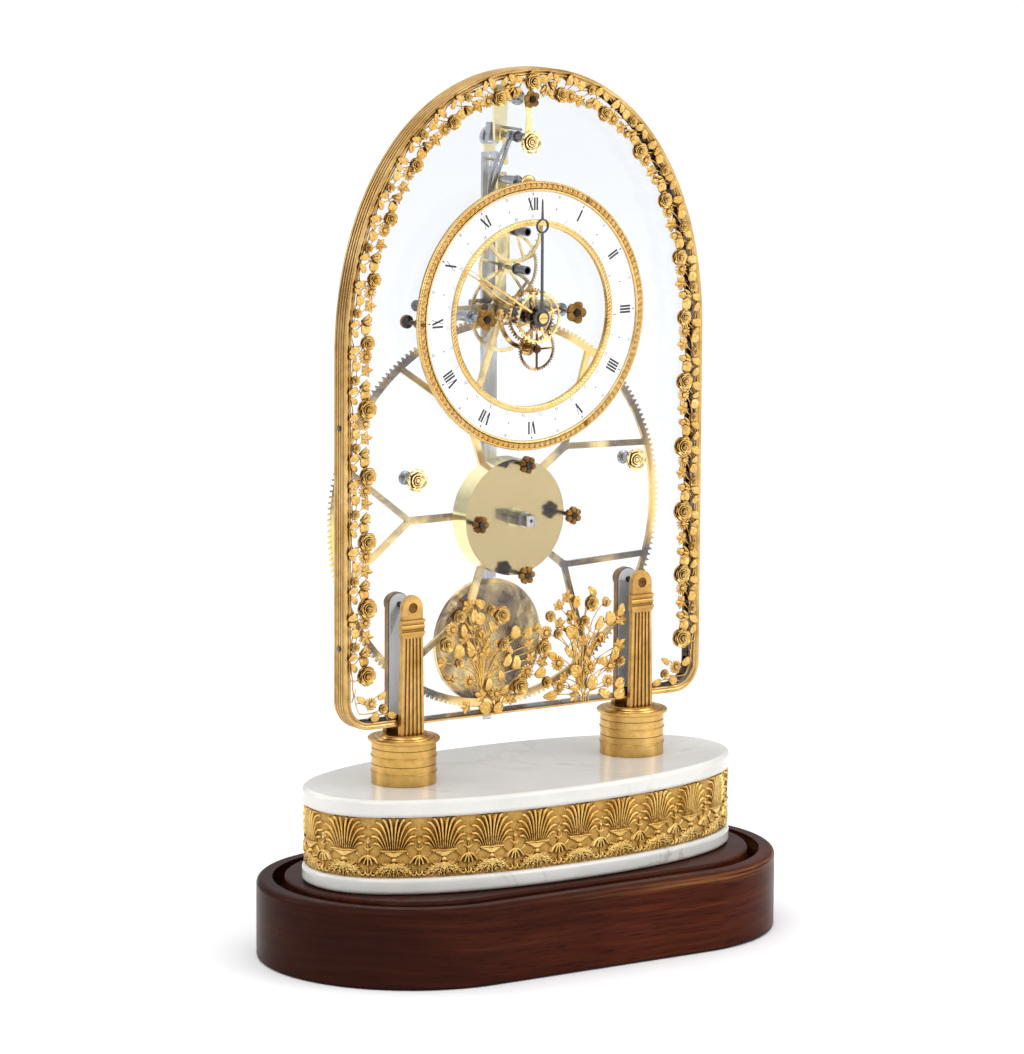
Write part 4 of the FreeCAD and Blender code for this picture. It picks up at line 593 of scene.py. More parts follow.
steel_rod = steel("steel_rod", (0.60, 0.60, 0.59), (0.24, 0.245, 0.26), 0.26, 0.40, (260.0, 260.0, 9.0), 0.8)
steel_parts = steel("steel_parts", (0.55, 0.555, 0.57), (0.22, 0.225, 0.24), 0.20, 0.34)
steel_pillar = steel("steel_pillars", (0.55, 0.555, 0.57), (0.22, 0.225, 0.24), 0.20, 0.34, front=-0.0072)
steel_dark = steel("steel_dark", (0.20, 0.20, 0.22), (0.055, 0.055, 0.065), 0.22, 0.36, amount=0.8)
screw_dark = steel("screw_blackened", (0.085, 0.075, 0.07), (0.025, 0.021, 0.02), 0.22, 0.34, amount=0.6)
steel_blue = steel("steel_blued", (0.105, 0.11, 0.135), (0.03, 0.032, 0.045), 0.20, 0.32, amount=0.4, coat=0.3)


def mahogany_mat(name, along_x=True, lift=1.0):
    m = Mat(name)
    c = m.coord()
    warp = m.noise(m.coord(5.0, 5.0, 9.0), 1.0, 3.0)
    cg = m.n("Mapping", None, Vector=m.n("TexCoord").outputs["Object"], Scale=(16.0, 16.0, 330.0) if along_x else (16.0, 260.0, 260.0))
    shifted = m.n("VectorMath", {"operation": "ADD"}, _0=cg.outputs[0], _1=m.n("CombineXYZ", None, X=0.0, Y=0.0, Z=m.math("MULTIPLY", warp, 6.0)).outputs[0])
    grain = m.noise(shifted.outputs[0], 1.0, 6.0, 0.62)
    pores_c = m.coord(70.0, 70.0, 1500.0) if along_x else m.coord(70.0, 1500.0, 1500.0)
    pores = m.noise(pores_c, 1.0, 2.0, 0.6)
    cloud = m.noise(m.coord(9.0, 9.0, 16.0), 1.0, 4.0, 0.6)
    col = m.ramp(grain, [(0.26, (0.034 * lift, 0.0066 * lift, 0.0034 * lift)), (0.45, (0.058 * lift, 0.0115 * lift, 0.0050 * lift)), (0.60, (0.082 * lift, 0.0175 * lift, 0.0068 * lift)), (0.78, (0.118 * lift, 0.029 * lift, 0.0105 * lift))])
    col = m.mix(m.grey(cloud, 0.38, 0.62, 0.64, 0.0), col, (0.022 * lift, 0.0062 * lift, 0.0042 * lift))
    col = m.mix(m.grey(pores, 0.30, 0.75, 0.42, 0.0), col, (0.008, 0.003, 0.002))
    rub = m.noise(c, 30.0, 4.0)
    if along_x:
        # painted highlight: a pale tan streak along the front of the upper edge, on the right-hand part, stands in for
        # the sheen on the bevel
        sep = m.n("SeparateXYZ", None, Vector=m.n("TexCoord").outputs["Object"])
        zz = m.math("MULTIPLY", sep.outputs[2], 10.0)
        edge = m.math("MULTIPLY", m.grey(zz, (RIM_T - 0.0062) * 10.0, 0.0, (RIM_T - 0.0035) * 10.0, 1.0), m.grey(zz, (RIM_T - 0.0016) * 10.0, 1.0, (RIM_T - 0.0002) * 10.0, 0.0))
        # darker towards the left end
        darker_to_left = m.grey(m.math("ADD", m.math("MULTIPLY", sep.outputs[0], 3.0), 0.5), 0.14, 0.62, 0.44, 0.0)
        col = m.mix(darker_to_left, col, (0.018, 0.0048, 0.0036))
        highlight_side_mask = m.grey(m.math("ADD", m.math("MULTIPLY", sep.outputs[0], 3.0), 0.5), 0.40, 0.0, 0.72, 1.0)
        highlight_streak = m.grey(m.noise(m.coord(14.0, 14.0, 700.0), 1.0, 4.0, 0.65), 0.42, 0.0, 0.66, 1.0)
        col = m.mix(m.math("MULTIPLY", m.math("MULTIPLY", edge, highlight_side_mask), m.math("MULTIPLY", highlight_streak, 0.85)), col, (0.30, 0.13, 0.045))
    # painted shade: the ambient occlusion node darkens recesses and corners almost to black
    painted_recess_shade = m.ao(0.006)
    col = m.mix(m.grey(painted_recess_shade, 0.15, 0.9, 0.7, 0.0), col, (0.004, 0.002, 0.0015))
    nrm = m.bump(m.math("ADD", m.math("MULTIPLY", pores, 0.7), m.noise(c, 90.0, 2.0)), 0.06, 0.0002)
    return m.shade(Base_Color=col, Roughness=m.mix(rub, (0.22,) * 3, (0.36,) * 3), Normal=nrm, Coat_Weight=0.02, Coat_Roughness=0.10, Specular_IOR_Level=0.03)


wood_side = mahogany_mat("mahogany_side", True)
wood_top = mahogany_mat("mahogany_top", False, 0.9)


def marble_mat():
    m = Mat("marble_white")
    c = m.coord()
    w = m.noise(c, 11.0, 6.0, 0.6, 1.4)
    band = m.math("ABSOLUTE", m.math("SUBTRACT", w, 0.5))
    vein = m.grey(band, 0.0, 1.0, 0.026, 0.0)
    faint = m.grey(m.noise(c, 7.0, 3.0), 0.44, 0.0, 0.62, 1.0)
    cloud = m.noise(c, 18.0, 5.0, 0.6)
    col = m.mix(m.grey(cloud, 0.35, 0.0, 0.72, 1.0), (0.76, 0.745, 0.705), (0.64, 0.63, 0.60))
    col = m.mix(m.math("MULTIPLY", m.math("MULTIPLY", vein, faint), 0.60), col, (0.36, 0.34, 0.30))
    speck = m.grey(m.noise(c, 420.0, 2.0), 0.70, 0.0, 0.78, 0.35)
    col = m.mix(speck, col, (0.62, 0.57, 0.47))
    # painted shade: the ambient occlusion node darkens recesses and corners towards warm grey
    painted_recess_shade = m.ao(0.005)
    col = m.mix(m.grey(painted_recess_shade, 0.1, 0.5, 0.6, 0.0), col, (0.42, 0.39, 0.33))
    nrm = m.bump(m.noise(c, 160.0, 3.0), 0.03, 0.0002)
    return m.shade(Base_Color=col, Roughness=m.mix(cloud, (0.10,) * 3, (0.20,) * 3), Normal=nrm, Subsurface_Weight=0.12, Subsurface_Scale=0.004, Coat_Weight=0.3, Coat_Roughness=0.06)


marble = marble_mat()


def enamel_mat():
    m = Mat("enamel_white")
    c = m.coord()
    cloud = m.noise(c, 22.0, 3.0)
    col = m.mix(cloud, (0.86, 0.865, 0.86), (0.91, 0.91, 0.90))
    speck = m.grey(m.noise(c, 700.0, 2.0), 0.76, 0.0, 0.80, 0.5)
    col = m.mix(speck, col, (0.35, 0.33, 0.30))
    nrm = m.bump(m.noise(c, 60.0, 3.0), 0.02, 0.0003)
    return m.shade(Base_Color=col, Roughness=m.mix(cloud, (0.10,) * 3, (0.16,) * 3), Normal=nrm, Coat_Weight=0.5, Coat_Roughness=0.04)


enamel = enamel_mat()


def ink_mat():
    m = Mat("enamel_black")
    c = m.coord()
    fade = m.noise(c, 500.0, 3.0)
    col = m.mix(m.grey(fade, 0.35, 0.0, 0.8, 1.0), (0.012, 0.012, 0.016), (0.06, 0.06, 0.07))
    return m.shade(Base_Color=col, Roughness=m.mix(fade, (0.25,) * 3, (0.4,) * 3))


ink = ink_mat()


def ink_soft_mat():
    m = Mat("enamel_grey")
    c = m.coord()
    fade = m.noise(c, 600.0, 3.0)
    col = m.mix(m.grey(fade, 0.3, 0.0, 0.75, 1.0), (0.035, 0.036, 0.045), (0.28, 0.28, 0.30))
    return m.shade(Base_Color=col, Roughness=m.mix(fade, (0.25,) * 3, (0.4,) * 3))


ink_soft = ink_soft_mat()


def leather_mat():
    m = Mat("leather_grey")
    c = m.coord()
    vo = m.n("TexVoronoi", None, Vector=c, Scale=900.0)
    a = m.noise(c, 70.0, 4.0)
    col = m.mix(a, (0.60, 0.58, 0.54), (0.76, 0.745, 0.71))
    col = m.mix(m.grey(m.noise(c, 16.0, 2.0), 0.5, 0.0, 0.7, 0.5), col, (0.36, 0.29, 0.22))
    return m.shade(Base_Color=col, Roughness=m.mix(a, (0.6,) * 3, (0.8,) * 3), Normal=m.bump(vo.outputs["Distance"], 0.25, 0.0002))


leather = leather_mat()


def glass_mat():
    m = Mat("plate_glass")
    c = m.coord()
    lw = m.n("LayerWeight", None, Blend=0.5)
    f5 = m.math("POWER", lw.outputs["Facing"], 5.0)
    fr = m.math("MINIMUM", m.math("ADD", 0.035, m.math("MULTIPLY", f5, 0.9)), 1.0)
    tint = m.mix(m.noise(c, 3.0, 2.0), (0.925, 0.943, 0.966), (0.940, 0.955, 0.974))
    tr = m.n("BsdfTransparent", None, Color=tint)
    nrm = m.bump(m.noise(c, 9.0, 2.0), 0.02, 0.0006)
    gl = m.n("BsdfGlossy", None, Color=(1, 1, 1, 1), Roughness=m.grey(m.noise(c, 60.0, 3.0), 0.3, 0.005, 0.8, 0.03), Normal=nrm)
    mx = m.n("MixShader", None, Fac=fr)
    m.t.links.new(tr.outputs[0], mx.inputs[1])
    m.t.links.new(gl.outputs[0], mx.inputs[2])
    m.t.links.new(mx.outputs[0], m.out.inputs[0])
    return m.m


glass = glass_mat()


def rod_mat():
    """Steel rod with its brass neck and ring parted by height."""
    m = Mat("pendulum_steel_and_brass")
    c = m.coord()
    tc = m.n("TexCoord")
    sep = m.n("SeparateXYZ", None, Vector=tc.outputs["Object"])
    cb = m.coord(260.0, 260.0, 8.0)
    s = m.noise(cb, 3.0, 3.0, 0.6)
    a = m.noise(m.coord(40.0, 40.0, 14.0), 1.0, 5.0, 0.65)
    st = m.mix(m.grey(s, 0.3, 0.0, 0.7, 1.0), (0.42, 0.42, 0.425), (0.76, 0.755, 0.74))
    st = m.mix(m.grey(a, 0.50, 0.0, 0.72, 0.85), st, (0.14, 0.14, 0.155))
    br = m.mix(a, (0.80, 0.68, 0.36), (0.90, 0.80, 0.48))
    k = m.math("GREATER_THAN", sep.outputs[2], 0.3985)
    k2 = m.math("LESS_THAN", sep.outputs[2], 0.4025)
    col = m.mix(m.math("MULTIPLY", k, k2), st, br)
    nrm = m.bump(m.math("ADD", s, m.noise(c, 700.0, 2.0)), 0.12, 0.00012)
    return m.shade(Base_Color=col, Metallic=1.0, Roughness=m.mix(a, (0.24,) * 3, (0.40,) * 3), Normal=nrm)


rod_m = rod_mat()


def bracket_mat():
    """Suspension bracket: brass plates between steel posts, parted by place."""
    m = Mat("suspension_brass_and_steel")
    c = m.coord()
    sep = m.n("SeparateXYZ", None, Vector=m.n("TexCoord").outputs["Object"])
    a = m.noise(c, 50.0, 4.0, 0.6)
    s = m.noise(m.coord(300.0, 12.0, 300.0), 3.0, 3.0, 0.6)
    st = m.mix(m.grey(s, 0.3, 0.0, 0.7, 1.0), (0.27, 0.27, 0.285), (0.55, 0.55, 0.56))
    br = m.mix(a, (0.86, 0.72, 0.34), (0.95, 0.86, 0.52))
    vo = m.n("TexVoronoi", None, Vector=c, Scale=700.0)
    dots = m.grey(vo.outputs["Distance"], 0.10, 1.0, 0.25, 0.0)
    br = m.mix(m.math("MULTIPLY", dots, 0.4), br, (0.97, 0.93, 0.75))
    y = sep.outputs[1]
    z = sep.outputs[2]
    front = m.math("MULTIPLY", m.math("GREATER_THAN", y, -0.00556), m.math("LESS_THAN", y, -0.00445))
    rear = m.math("MULTIPLY", m.math("GREATER_THAN", y, 0.01995), m.math("LESS_THAN", y, 0.02205))
    low = m.math("LESS_THAN", z, 0.4345)
    k = m.math("MULTIPLY", m.math("ADD", front, rear), low)
    col = m.mix(k, st, br)
    # painted shade: in front of the given depth the part is painted near-black, so where it shows in the slotted nut
    # the slot reads as a shaded recess
    col = m.mix(m.math("LESS_THAN", y, -0.0062), col, (0.035, 0.028, 0.024))
    nrm = m.bump(m.math("ADD", m.math("MULTIPLY", dots, 0.5), m.noise(c, 500.0, 2.0)), 0.12, 0.00012)
    return m.shade(Base_Color=col, Metallic=1.0, Roughness=m.mix(a, (0.22,) * 3, (0.36,) * 3), Normal=nrm)


bracket_m = bracket_mat()

# ------------------------------------------------------------------ CAD nodes and their finishes

FINISH = {
    "plinth_rim": wood_side, "plinth_board": wood_top, "plinth_platform": wood_top, "base_core": wood_side,
    "marble_lower_slab": marble, "marble_upper_slab": marble,
    "front_pilasters": ormolu_pil, "drum_pedestals": ormolu_drum, "rear_pilasters": brown, "pilaster_pads": leather,
    "pilaster_bolts": brown_dark, "pedestal_studs": steel_parts, "frame_screws": steel_dark,
    "glass_plate": glass, "dial_enamel_ring": enamel, "dial_feet": brown_dark, "glass_bushes": steel_dark,
    "motion_cock": brass_dark, "minute_wheel": brass_dark, "hour_wheel": brass_dark, "date_wheel": brass_wheel,
    "cannon_pinion": steel_dark, "minute_hand": steel_blue, "minute_hand_screw": ormolu_fine, "hour_hand": ormolu_fine, "date_hand": ormolu_fine,
    "center_arbor": steel_parts, "center_wheel": brass_wheel, "third_arbor": steel_parts, "third_wheel": brass_wheel,
    "escape_arbor": steel_parts, "escape_wheel": brass_wheel, "rear_t_plate": brass_plate, "center_rear_cock": brass_dark,
    "movement_pillars": steel_pillar, "pillar_end_nuts": steel_dark, "suspension_bracket": bracket_m, "pallet_arbor": steel_parts,
    "crutch": brass_wheel, "pendulum_rod": rod_m, "pendulum_bob": brass_bob, "rating_nut": brass_wheel,
    "great_wheel": brass_great, "ratchet_wheel": steel_parts, "click": steel_blue, "click_spring": steel_blue,
    "barrel_drum": brass_pale, "barrel_cover": brass_pale, "winding_arbor": steel_parts, "mainspring": steel_blue,
}
for name, mt in FINISH.items():
    ob = CAD[name]
    ob.data.materials.clear()
    ob.data.materials.append(mt)

# ------------------------------------------------------------------ reeded band

sec = []
h = 5.4
nre = 5
pitch = 2 * h / nre
for k in range(nre):
    yc = -h + pitch * (k + 0.5)
    for q in np.linspace(-0.94, 0.94, 7):
        sec.append((-0.85 * (1 - math.sqrt(1 - q * q)) if abs(q) < 0.9 else -0.86, yc + q * pitch / 2 * 0.985))
sec = [(-0.28, -5.32)] + sec[1:-1] + [(-0.3, 5.32)]
sec += [(-0.8, 5.4), (-3.3, 5.4), (-3.75, 5.2), (-3.75, 4.53), (-1.85, 4.53), (-1.85, -4.53), (-3.75, -4.53), (-3.75, -4.9)]
for q in np.linspace(-60, 240, 7):
    pass
sec += [(-3.62, -5.15), (-3.35, -5.34), (-3.05, -5.38), (-2.75, -5.28), (-2.55, -5.02), (-2.38, -5.0), (-2.2, -5.02), (-1.95, -5.22), (-1.6, -5.36), (-1.2, -5.4), (-0.75, -5.38)]
sec = np.array(sec)
path3 = np.column_stack([OUT[:, 0], np.zeros(len(OUT)), OUT[:, 1]])
fr_n = np.column_stack([NRM[:, 0], np.zeros(len(OUT)), NRM[:, 1]])
fr_y = np.repeat(np.array([[0, 1.0, 0]]), len(OUT), 0)
b = Build()
v, f = sweep(path3, (fr_n, fr_y), sec)
v = np.array(v, float)
low = (np.abs(v[:, 0]) < 77.0) & (v[:, 2] < FB + 6.0) & (np.abs(v[:, 1]) > 4.5)
v[low, 2] = np.minimum(v[low, 2], FB + 1.25)
b.add(v, f)
b.make("band_reeded", "root", [ormolu_band], node="frame_band", angle=35)

# ------------------------------------------------------------------ garland

gar = Build()
T = {"rose": (ROSES, 4.15), "daisy": (DAISIES, 3.5)}


def stem(build, pts, r=0.42, lift=0.9):
    p = np.array([[x, GF - lift - (e if len(q) > 2 else 0), z] for q in pts for (x, z, e) in [tuple(q) + (0,) * (3 - len(q))]])
    build.add(*tube(p, r, 6))


def curve2(p0, p1, bulge, n=9, l0=0.6, l1=1.0):
    p0, p1 = np.array(p0, float), np.array(p1, float)
    d_ = p1 - p0
    mid = (p0 + p1) / 2 + np.array([-d_[1], d_[0]]) * bulge
    q = bez(p0, mid, p1, n)
    lift = np.linspace(l0, l1, n)
    return [(x, z, e) for (x, z), e in zip(q, lift)]


def unit(k, mirror, s0):
    g = np.random.default_rng(100 + k + (50 if mirror else 0))
    j = lambda a: g.uniform(-a, a)

    def put(t, ds, inset, turn, size, lift, tilt=0.0):
        x, z, hd = along(s0 + ds + j(0.5), inset + j(0.35), mirror)
        tt = (-turn if mirror else turn) + hd + j(0.12)
        gar.add(*place(t, x, z, tt, size * g.uniform(0.94, 1.06), lift, (j(0.06), j(0.06)), flip=mirror))
        return x, z
    lead = 0.95
    jobs = [
        (ROSES[g.integers(5)], 0.0, 12.3, 0.0, 4.3, 0.6, "r"),
        (centred(ROUND), 6.9, 10.9, -1.45, 6.3, 0.5, "l"),
        (BUD, 11.8, 11.3, math.pi + 0.35, 5.4, 0.5, "b"),
        (IVY, 18.9, 11.6, math.pi, 4.5, 0.6, "i"),
        (DAISIES[g.integers(3)], 26.2, 11.7, 0.0, 3.7, 0.5, "d"),
        (centred(SERR), 4.8, 4.6, -0.9, 5.6, 1.15, "c"),
        (centred(LEAF), 9.8, 4.4, 0.5, 6.0, 1.15, "a"),
        (ROSES[g.integers(5)], 14.6, 5.6, 0.0, 2.75, 0.95, "s"),
        (centred(ROUND), 21.6, 5.6, -1.2, 5.6, 1.0, "m"),
        (centred(SERR), 25.8, 4.3, -0.6, 5.0, 1.15, "n"),
        (centred(LEAF), 30.0, 4.5, 0.35, 6.6, 1.15, "o"),
    ]
    for t, ds, ins, turn, size, lift, tag in jobs:
        if s0 + ds > 360.5 or s0 + ds < 1.0:
            continue
        put(t, ds, ins, turn, size * ((1.22 if s0 < 175 else 1.0) if size == 4.3 else 1.0 if ins > 9.0 else 0.94), lift)
    # stems: a running stem near the edge, with curling branches to each head
    for a, ia, bq, ib, bulge in ((-2, 3.6, 0.0, 11.0, -0.28), (-2, 3.6, 14.6, 5.0, 0.16), (5.5, 4.2, 11.8, 9.2, -0.25), (14.6, 6.2, 18.9, 10.4, -0.22),
                                 (14.6, 6.2, 26.2, 10.8, 0.18), (9.8, 5.5, 6.9, 10.0, 0.2), (16.5, 3.6, 21.6, 6.0, 0.25), (16.5, 3.6, 30.0, 4.6, -0.10), (25.8, 4.6, 33.3, 11.2, -0.2)):
        if s0 + bq > 358 or s0 + a < 0.5:
            continue
        xa, za, _ = along(s0 + a, ia, mirror)
        xb, zb_, _ = along(s0 + bq, ib, mirror)
        stem(gar, curve2((xa, za), (xb, zb_), bulge if not mirror else -bulge, 10, 0.25, 0.7), 0.29, 0.55)


for k in range(11):
    for mirror in (False, True):
        unit(k, mirror, 13.1 + 33.33 * k)
# corner sprigs at the foot of each side
for mirror in (False, True):
    sg = -1 if mirror else 1
    for t, x, z, turn, size, lift in ((DAISIES[0], -92.5, 131.5, 0, 3.6, 0.6), (centred(LEAF), -98.5, 134.0, 0.9, 6.0, 1.1), (ROSES[1], -85.5, 128.5, 0, 2.7, 0.7), (centred(ROUND), -90.5, 124.8, 2.2, 5.2, 1.1),
                                      (centred(SERR), -86.0, 135.0, -0.9, 5.6, 0.6), (centred(LEAF), -80.3, 124.6, -1.9, 5.6, 1.0)):
        gar.add(*place(t, sg * x, z, sg * turn, size, lift, flip=mirror))
    for p0, p1, bl in (((-101.5, 132), (-92.5, 131.5), 0.2), ((-99, 127), (-85.5, 128.5), -0.15), ((-95, 124), (-80.3, 125), 0.12), ((-92.5, 131.5), (-86, 136), 0.2), ((-99, 127), (-101.5, 140), 0.2)):
        stem(gar, curve2((sg * p0[0], p0[1]), (sg * p1[0], p1[1]), bl * sg, 9, 0.25, 0.7), 0.30, 0.55)
# crowning rose and its leaves
for t, x, z, turn, size, lift in ((ROSES[2], 1.2, 437.0 - 0.6, 0, 5.0, 1.0), (centred(LEAF), -6.6, 437.6, 1.35, 6.2, 0.9), (centred(LEAF), 8.6, 437.0, -1.35, 6.2, 0.9), (IVY, 8.8, 431.4, -2.3, 3.9, 0.5),
                                  (centred(ROUND), -7.6, 431.6, 2.3, 5.6, 0.5), (BUD, -12.2, 434.4, 1.9, 4.8, 0.7), (BUD, 13.6, 434.0, -1.9, 4.8, 0.7), (centred(SERR), 13.2, 428.6, -2.4, 5.0, 0.5), (centred(SERR), -11.6, 429.4, 2.2, 4.6, 0.5)):
    gar.add(*place(t, x, z, turn, size, lift))
for p0, p1, bl in (((-16, 436.6), (1.2, 436.4), 0.1), ((1.2, 436.4), (17, 436.0), 0.1), ((-12, 438), (-8, 431), 0.2), ((12, 437.6), (9, 431), -0.2), ((5, 437), (13.2, 428.8), -0.2), ((-4, 437), (-11.6, 429.6), 0.2)):
    stem(gar, curve2(p0, p1, bl, 9, 0.25, 0.7), 0.30, 0.55)
# the thin running wire that carries the sprays, just inside the band
for mirror in (False, True):
    ss = np.arange(-1.0, 366.0, 4.0)
    pts = []
    for i, s_ in enumerate(ss):
        x, z, _ = along(max(s_, 0.0), 4.3 + 0.9 * math.sin(s_ * TAU / 33.33 + 0.6) + 0.4 * math.sin(s_ * 0.61), mirror)
        pts.append((x, z, 0.0))
    stem(gar, pts, 0.34, 0.55)
gar.make("garland_flowers", "root", [ormolu], node="garland_border", angle=50)

# ------------------------------------------------------------------ bouquets

bq = Build()
LEFT = {
    "R": [(-48.4, 157.3, 4.6), (-15.6, 169.1, 4.8), (10.1, 149.8, 4.6), (-4.4, 131.7, 5.0)],
    "r": [(-40.1, 170.4, 3.4), (-14.0, 153.9, 3.5), (-40.4, 147.0, 3.1), (-21.6, 172.1, 3.0)],
    "D": [(-44.4, 164.1), (-34.3, 136.8), (-18.1, 129.0), (0.4, 138.4)],
    "L": [(-28.1, 175.8), (-28.4, 168.3), (-38.0, 163.1), (-20.8, 163.5), (-40.8, 152.8), (-34.0, 153.2), (-11.8, 145.5), (-7.0, 159.4), (0.7, 158.3), (-6.5, 143.9), (8.6, 137.2), (-15.4, 137.9),
          (-23.0, 134.3), (-16.9, 121.9), (-12.9, 130.8), (-31.7, 170.0), (-24.5, 122.4)],
    "I": [(-34.5, 174.7), (-49.5, 147.9), (-24.3, 149.5), (1.6, 151.7), (9.4, 142.0), (2.8, 144.7), (-9.6, 125.3), (-36.8, 158.2), (-26.6, 128.5), (-35.4, 124.2)],
    "b": [(-45.8, 139.5), (6.4, 160.2), (-27.0, 160.5)], "root": (-18.0, 121.5), "waist": (-26.5, 134.5)}
RIGHT = {
    "R": [(39.3, 169.9, 4.4)],
    "r": [(35.4, 160.9, 3.3), (14.5, 165.4, 3.0), (12.3, 131.9, 3.2), (57.6, 138.1, 3.0), (19.2, 156.1, 2.9)],
    "D": [(11.7, 157.2), (19.4, 140.9), (39.0, 137.0), (50.2, 128.7), (20.1, 128.4), (51.0, 136.4)],
    "L": [(30.0, 171.3), (50.7, 161.0), (57.6, 164.8), (44.5, 159.2), (26.8, 156.1), (26.1, 145.8), (15.5, 145.1), (30.1, 135.6), (29.6, 127.3), (14.8, 124.7), (40.1, 129.0), (46.4, 139.7),
          (53.8, 142.6), (57.3, 127.0), (40.2, 175.8), (48.2, 122.2), (57.0, 121.8)],
    "I": [(24.9, 173.5), (19.8, 169.8), (20.3, 160.5), (35.1, 150.4), (23.8, 132.6), (58.0, 159.0), (57.1, 146.2), (30.5, 122.6)],
    "b": [(48.3, 169.7), (26.6, 164.8), (45.6, 151.6)], "root": (36.0, 121.8), "waist": (33.5, 127.5)}


def spray(d, seed):
    g = np.random.default_rng(seed)
    rx, rz = d["root"]
    heads = []
    for x, z, r in d["R"]:
        bq.add(*place(ROSES[g.integers(5)], x, z, g.uniform(0, 6), r, 0.9, (g.uniform(-0.08, 0.08), g.uniform(-0.08, 0.08))))
        heads.append((x, z, 0.55))
    for x, z, r in d["r"]:
        bq.add(*place(ROSES[g.integers(5)], x, z, g.uniform(0, 6), r, 0.7, (g.uniform(-0.12, 0.12), g.uniform(-0.12, 0.12))))
        heads.append((x, z, 0.5))
    for x, z in d["D"]:
        bq.add(*place(DAISIES[g.integers(3)], x, z, g.uniform(0, 6), g.uniform(3.6, 4.2), 0.7, (g.uniform(-0.1, 0.1), g.uniform(-0.1, 0.1))))
        heads.append((x, z, 0.45))
    for x, z in d["b"]:
        a = math.atan2(z - rz, x - rx) - math.pi / 2
        bq.add(*place(BUD, x, z, a + g.uniform(-0.4, 0.4), 4.8, 0.6))
        heads.append((x, z, 0.4))
    for i, (x, z) in enumerate(d["L"]):
        a = math.atan2(z - rz, x - rx) - math.pi / 2 + g.uniform(-0.8, 0.8)
        t = (LEAF, ROUND, SERR)[i % 3]
        bq.add(*place(centred(t), x, z, a, g.uniform(6.4, 8.0), g.uniform(0.4, 0.9), (g.uniform(-0.1, 0.1), g.uniform(-0.1, 0.1))))
        heads.append((x, z, 0.36))
    for x, z in d["I"]:
        a = math.atan2(z - rz, x - rx) - math.pi / 2 + g.uniform(-0.5, 0.5)
        bq.add(*place(IVY, x, z, a, g.uniform(3.9, 4.7), g.uniform(0.4, 0.8), (g.uniform(-0.1, 0.1), g.uniform(-0.1, 0.1))))
        heads.append((x, z, 0.36))
    for i, (x, z, r) in enumerate(heads):
        ax, az = d["root"] if z < 139.0 else d["waist"]
        dx = x - ax
        x0 = ax + np.clip(dx * 0.08, -3.2, 3.2) + g.uniform(-1.0, 1.0)
        z0 = az + g.uniform(-2.6, 1.5)
        ln = math.hypot(x - x0, z - z0)
        if ln < 6:
            continue
        mx, mz = x0 + dx * 0.04, z0 + (z - z0) * 0.72
        p = bez((x0, z0), (mx, mz), (x, z), 12)
        wig = np.sin(np.linspace(0, math.pi * 2, 12)) * min(0.8, ln * 0.02) * g.choice([-1, 1])
        lift = np.linspace(g.uniform(0.4, 1.1), 0.8, 12)
        bq.add(*tube(np.column_stack([p[:, 0] + wig, GF - lift, p[:, 1]]), np.linspace(0.36, 0.27, 12), 6))
        if ln > 22:
            q = p[6]
            sd = g.choice([-1, 1])
            e = (q[0] + sd * g.uniform(2.5, 4.5), q[1] + g.uniform(2.0, 4.5))
            bq.add(*tube(np.column_stack([bez(q, (q[0] + sd * 0.4, q[1] + 2.4), e, 7)[:, 0], np.full(7, GF - 0.7), bez(q, (q[0] + sd * 0.4, q[1] + 2.4), e, 7)[:, 1]]), 0.3, 5))
            bq.add(*place(LEAF, e[0], e[1], -sd * g.uniform(0.3, 0.9), g.uniform(2.8, 3.8), 0.5))


spray(LEFT, 11)
spray(RIGHT, 12)
bq.make("bouquet_flowers", "root", [ormolu], node="bouquets", angle=50)

# ------------------------------------------------------------------ rose caps on the glass

rb = Build()
for i, (x, z, r) in enumerate(((0.0, 406.2, 6.0), (-66.0, 241.4, 6.0), (66.0, 241.4, 6.0))):
    fy = GF if x else -5.5
    rb.add(*place(ring_petals(5, 1.0, 0.20, 0.10, 0.30, 0.3 + i, 0.2, base=0.10), x, z, 0, r, 0.15, face=fy))
    rb.add(*place(petal_cup(0.92, 5, 0, 0.14, 0.30, 0.9 + i, 1.15), x, z, 0, r, 0.2, face=fy))
    rb.add(*place(petal_cup(0.62, 5, 0, 0.22, 0.30, 0.3 + i, 1.2), x, z, 0, r, 0.2, face=fy))
    rb.add(*place(petal_cup(0.36, 4, 0, 0.28, 0.26, 1.2 + i, 1.3), x, z, 0, r, 0.2, face=fy))
    a = np.arange(16) * TAU / 16
    rb.add(*place(disc_relief(np.column_stack([0.2 * np.cos(a), 0.2 * np.sin(a)]), lambda t, an, u, v: 0.42 + 0.12 * np.sqrt(np.clip(1 - t ** 2, 0, 1)), 0.3, rings=(0, 0.5, 0.8, 1.0)), x, z, 0, r, 0.1, face=fy))
    if x:
        rb.add(*turned([(0.02, 0.0), (3.4, 0.0), (3.6, 0.2), (3.6, 0.9), (3.3, 1.1), (0.02, 1.1)], 36, x, z, cy=4.5), 1)
rb.make("rosettes", "root", [ormolu_pale, steel_parts], node="rose_caps", angle=50)

# ------------------------------------------------------------------ petalled nuts and screws

nb = Build()


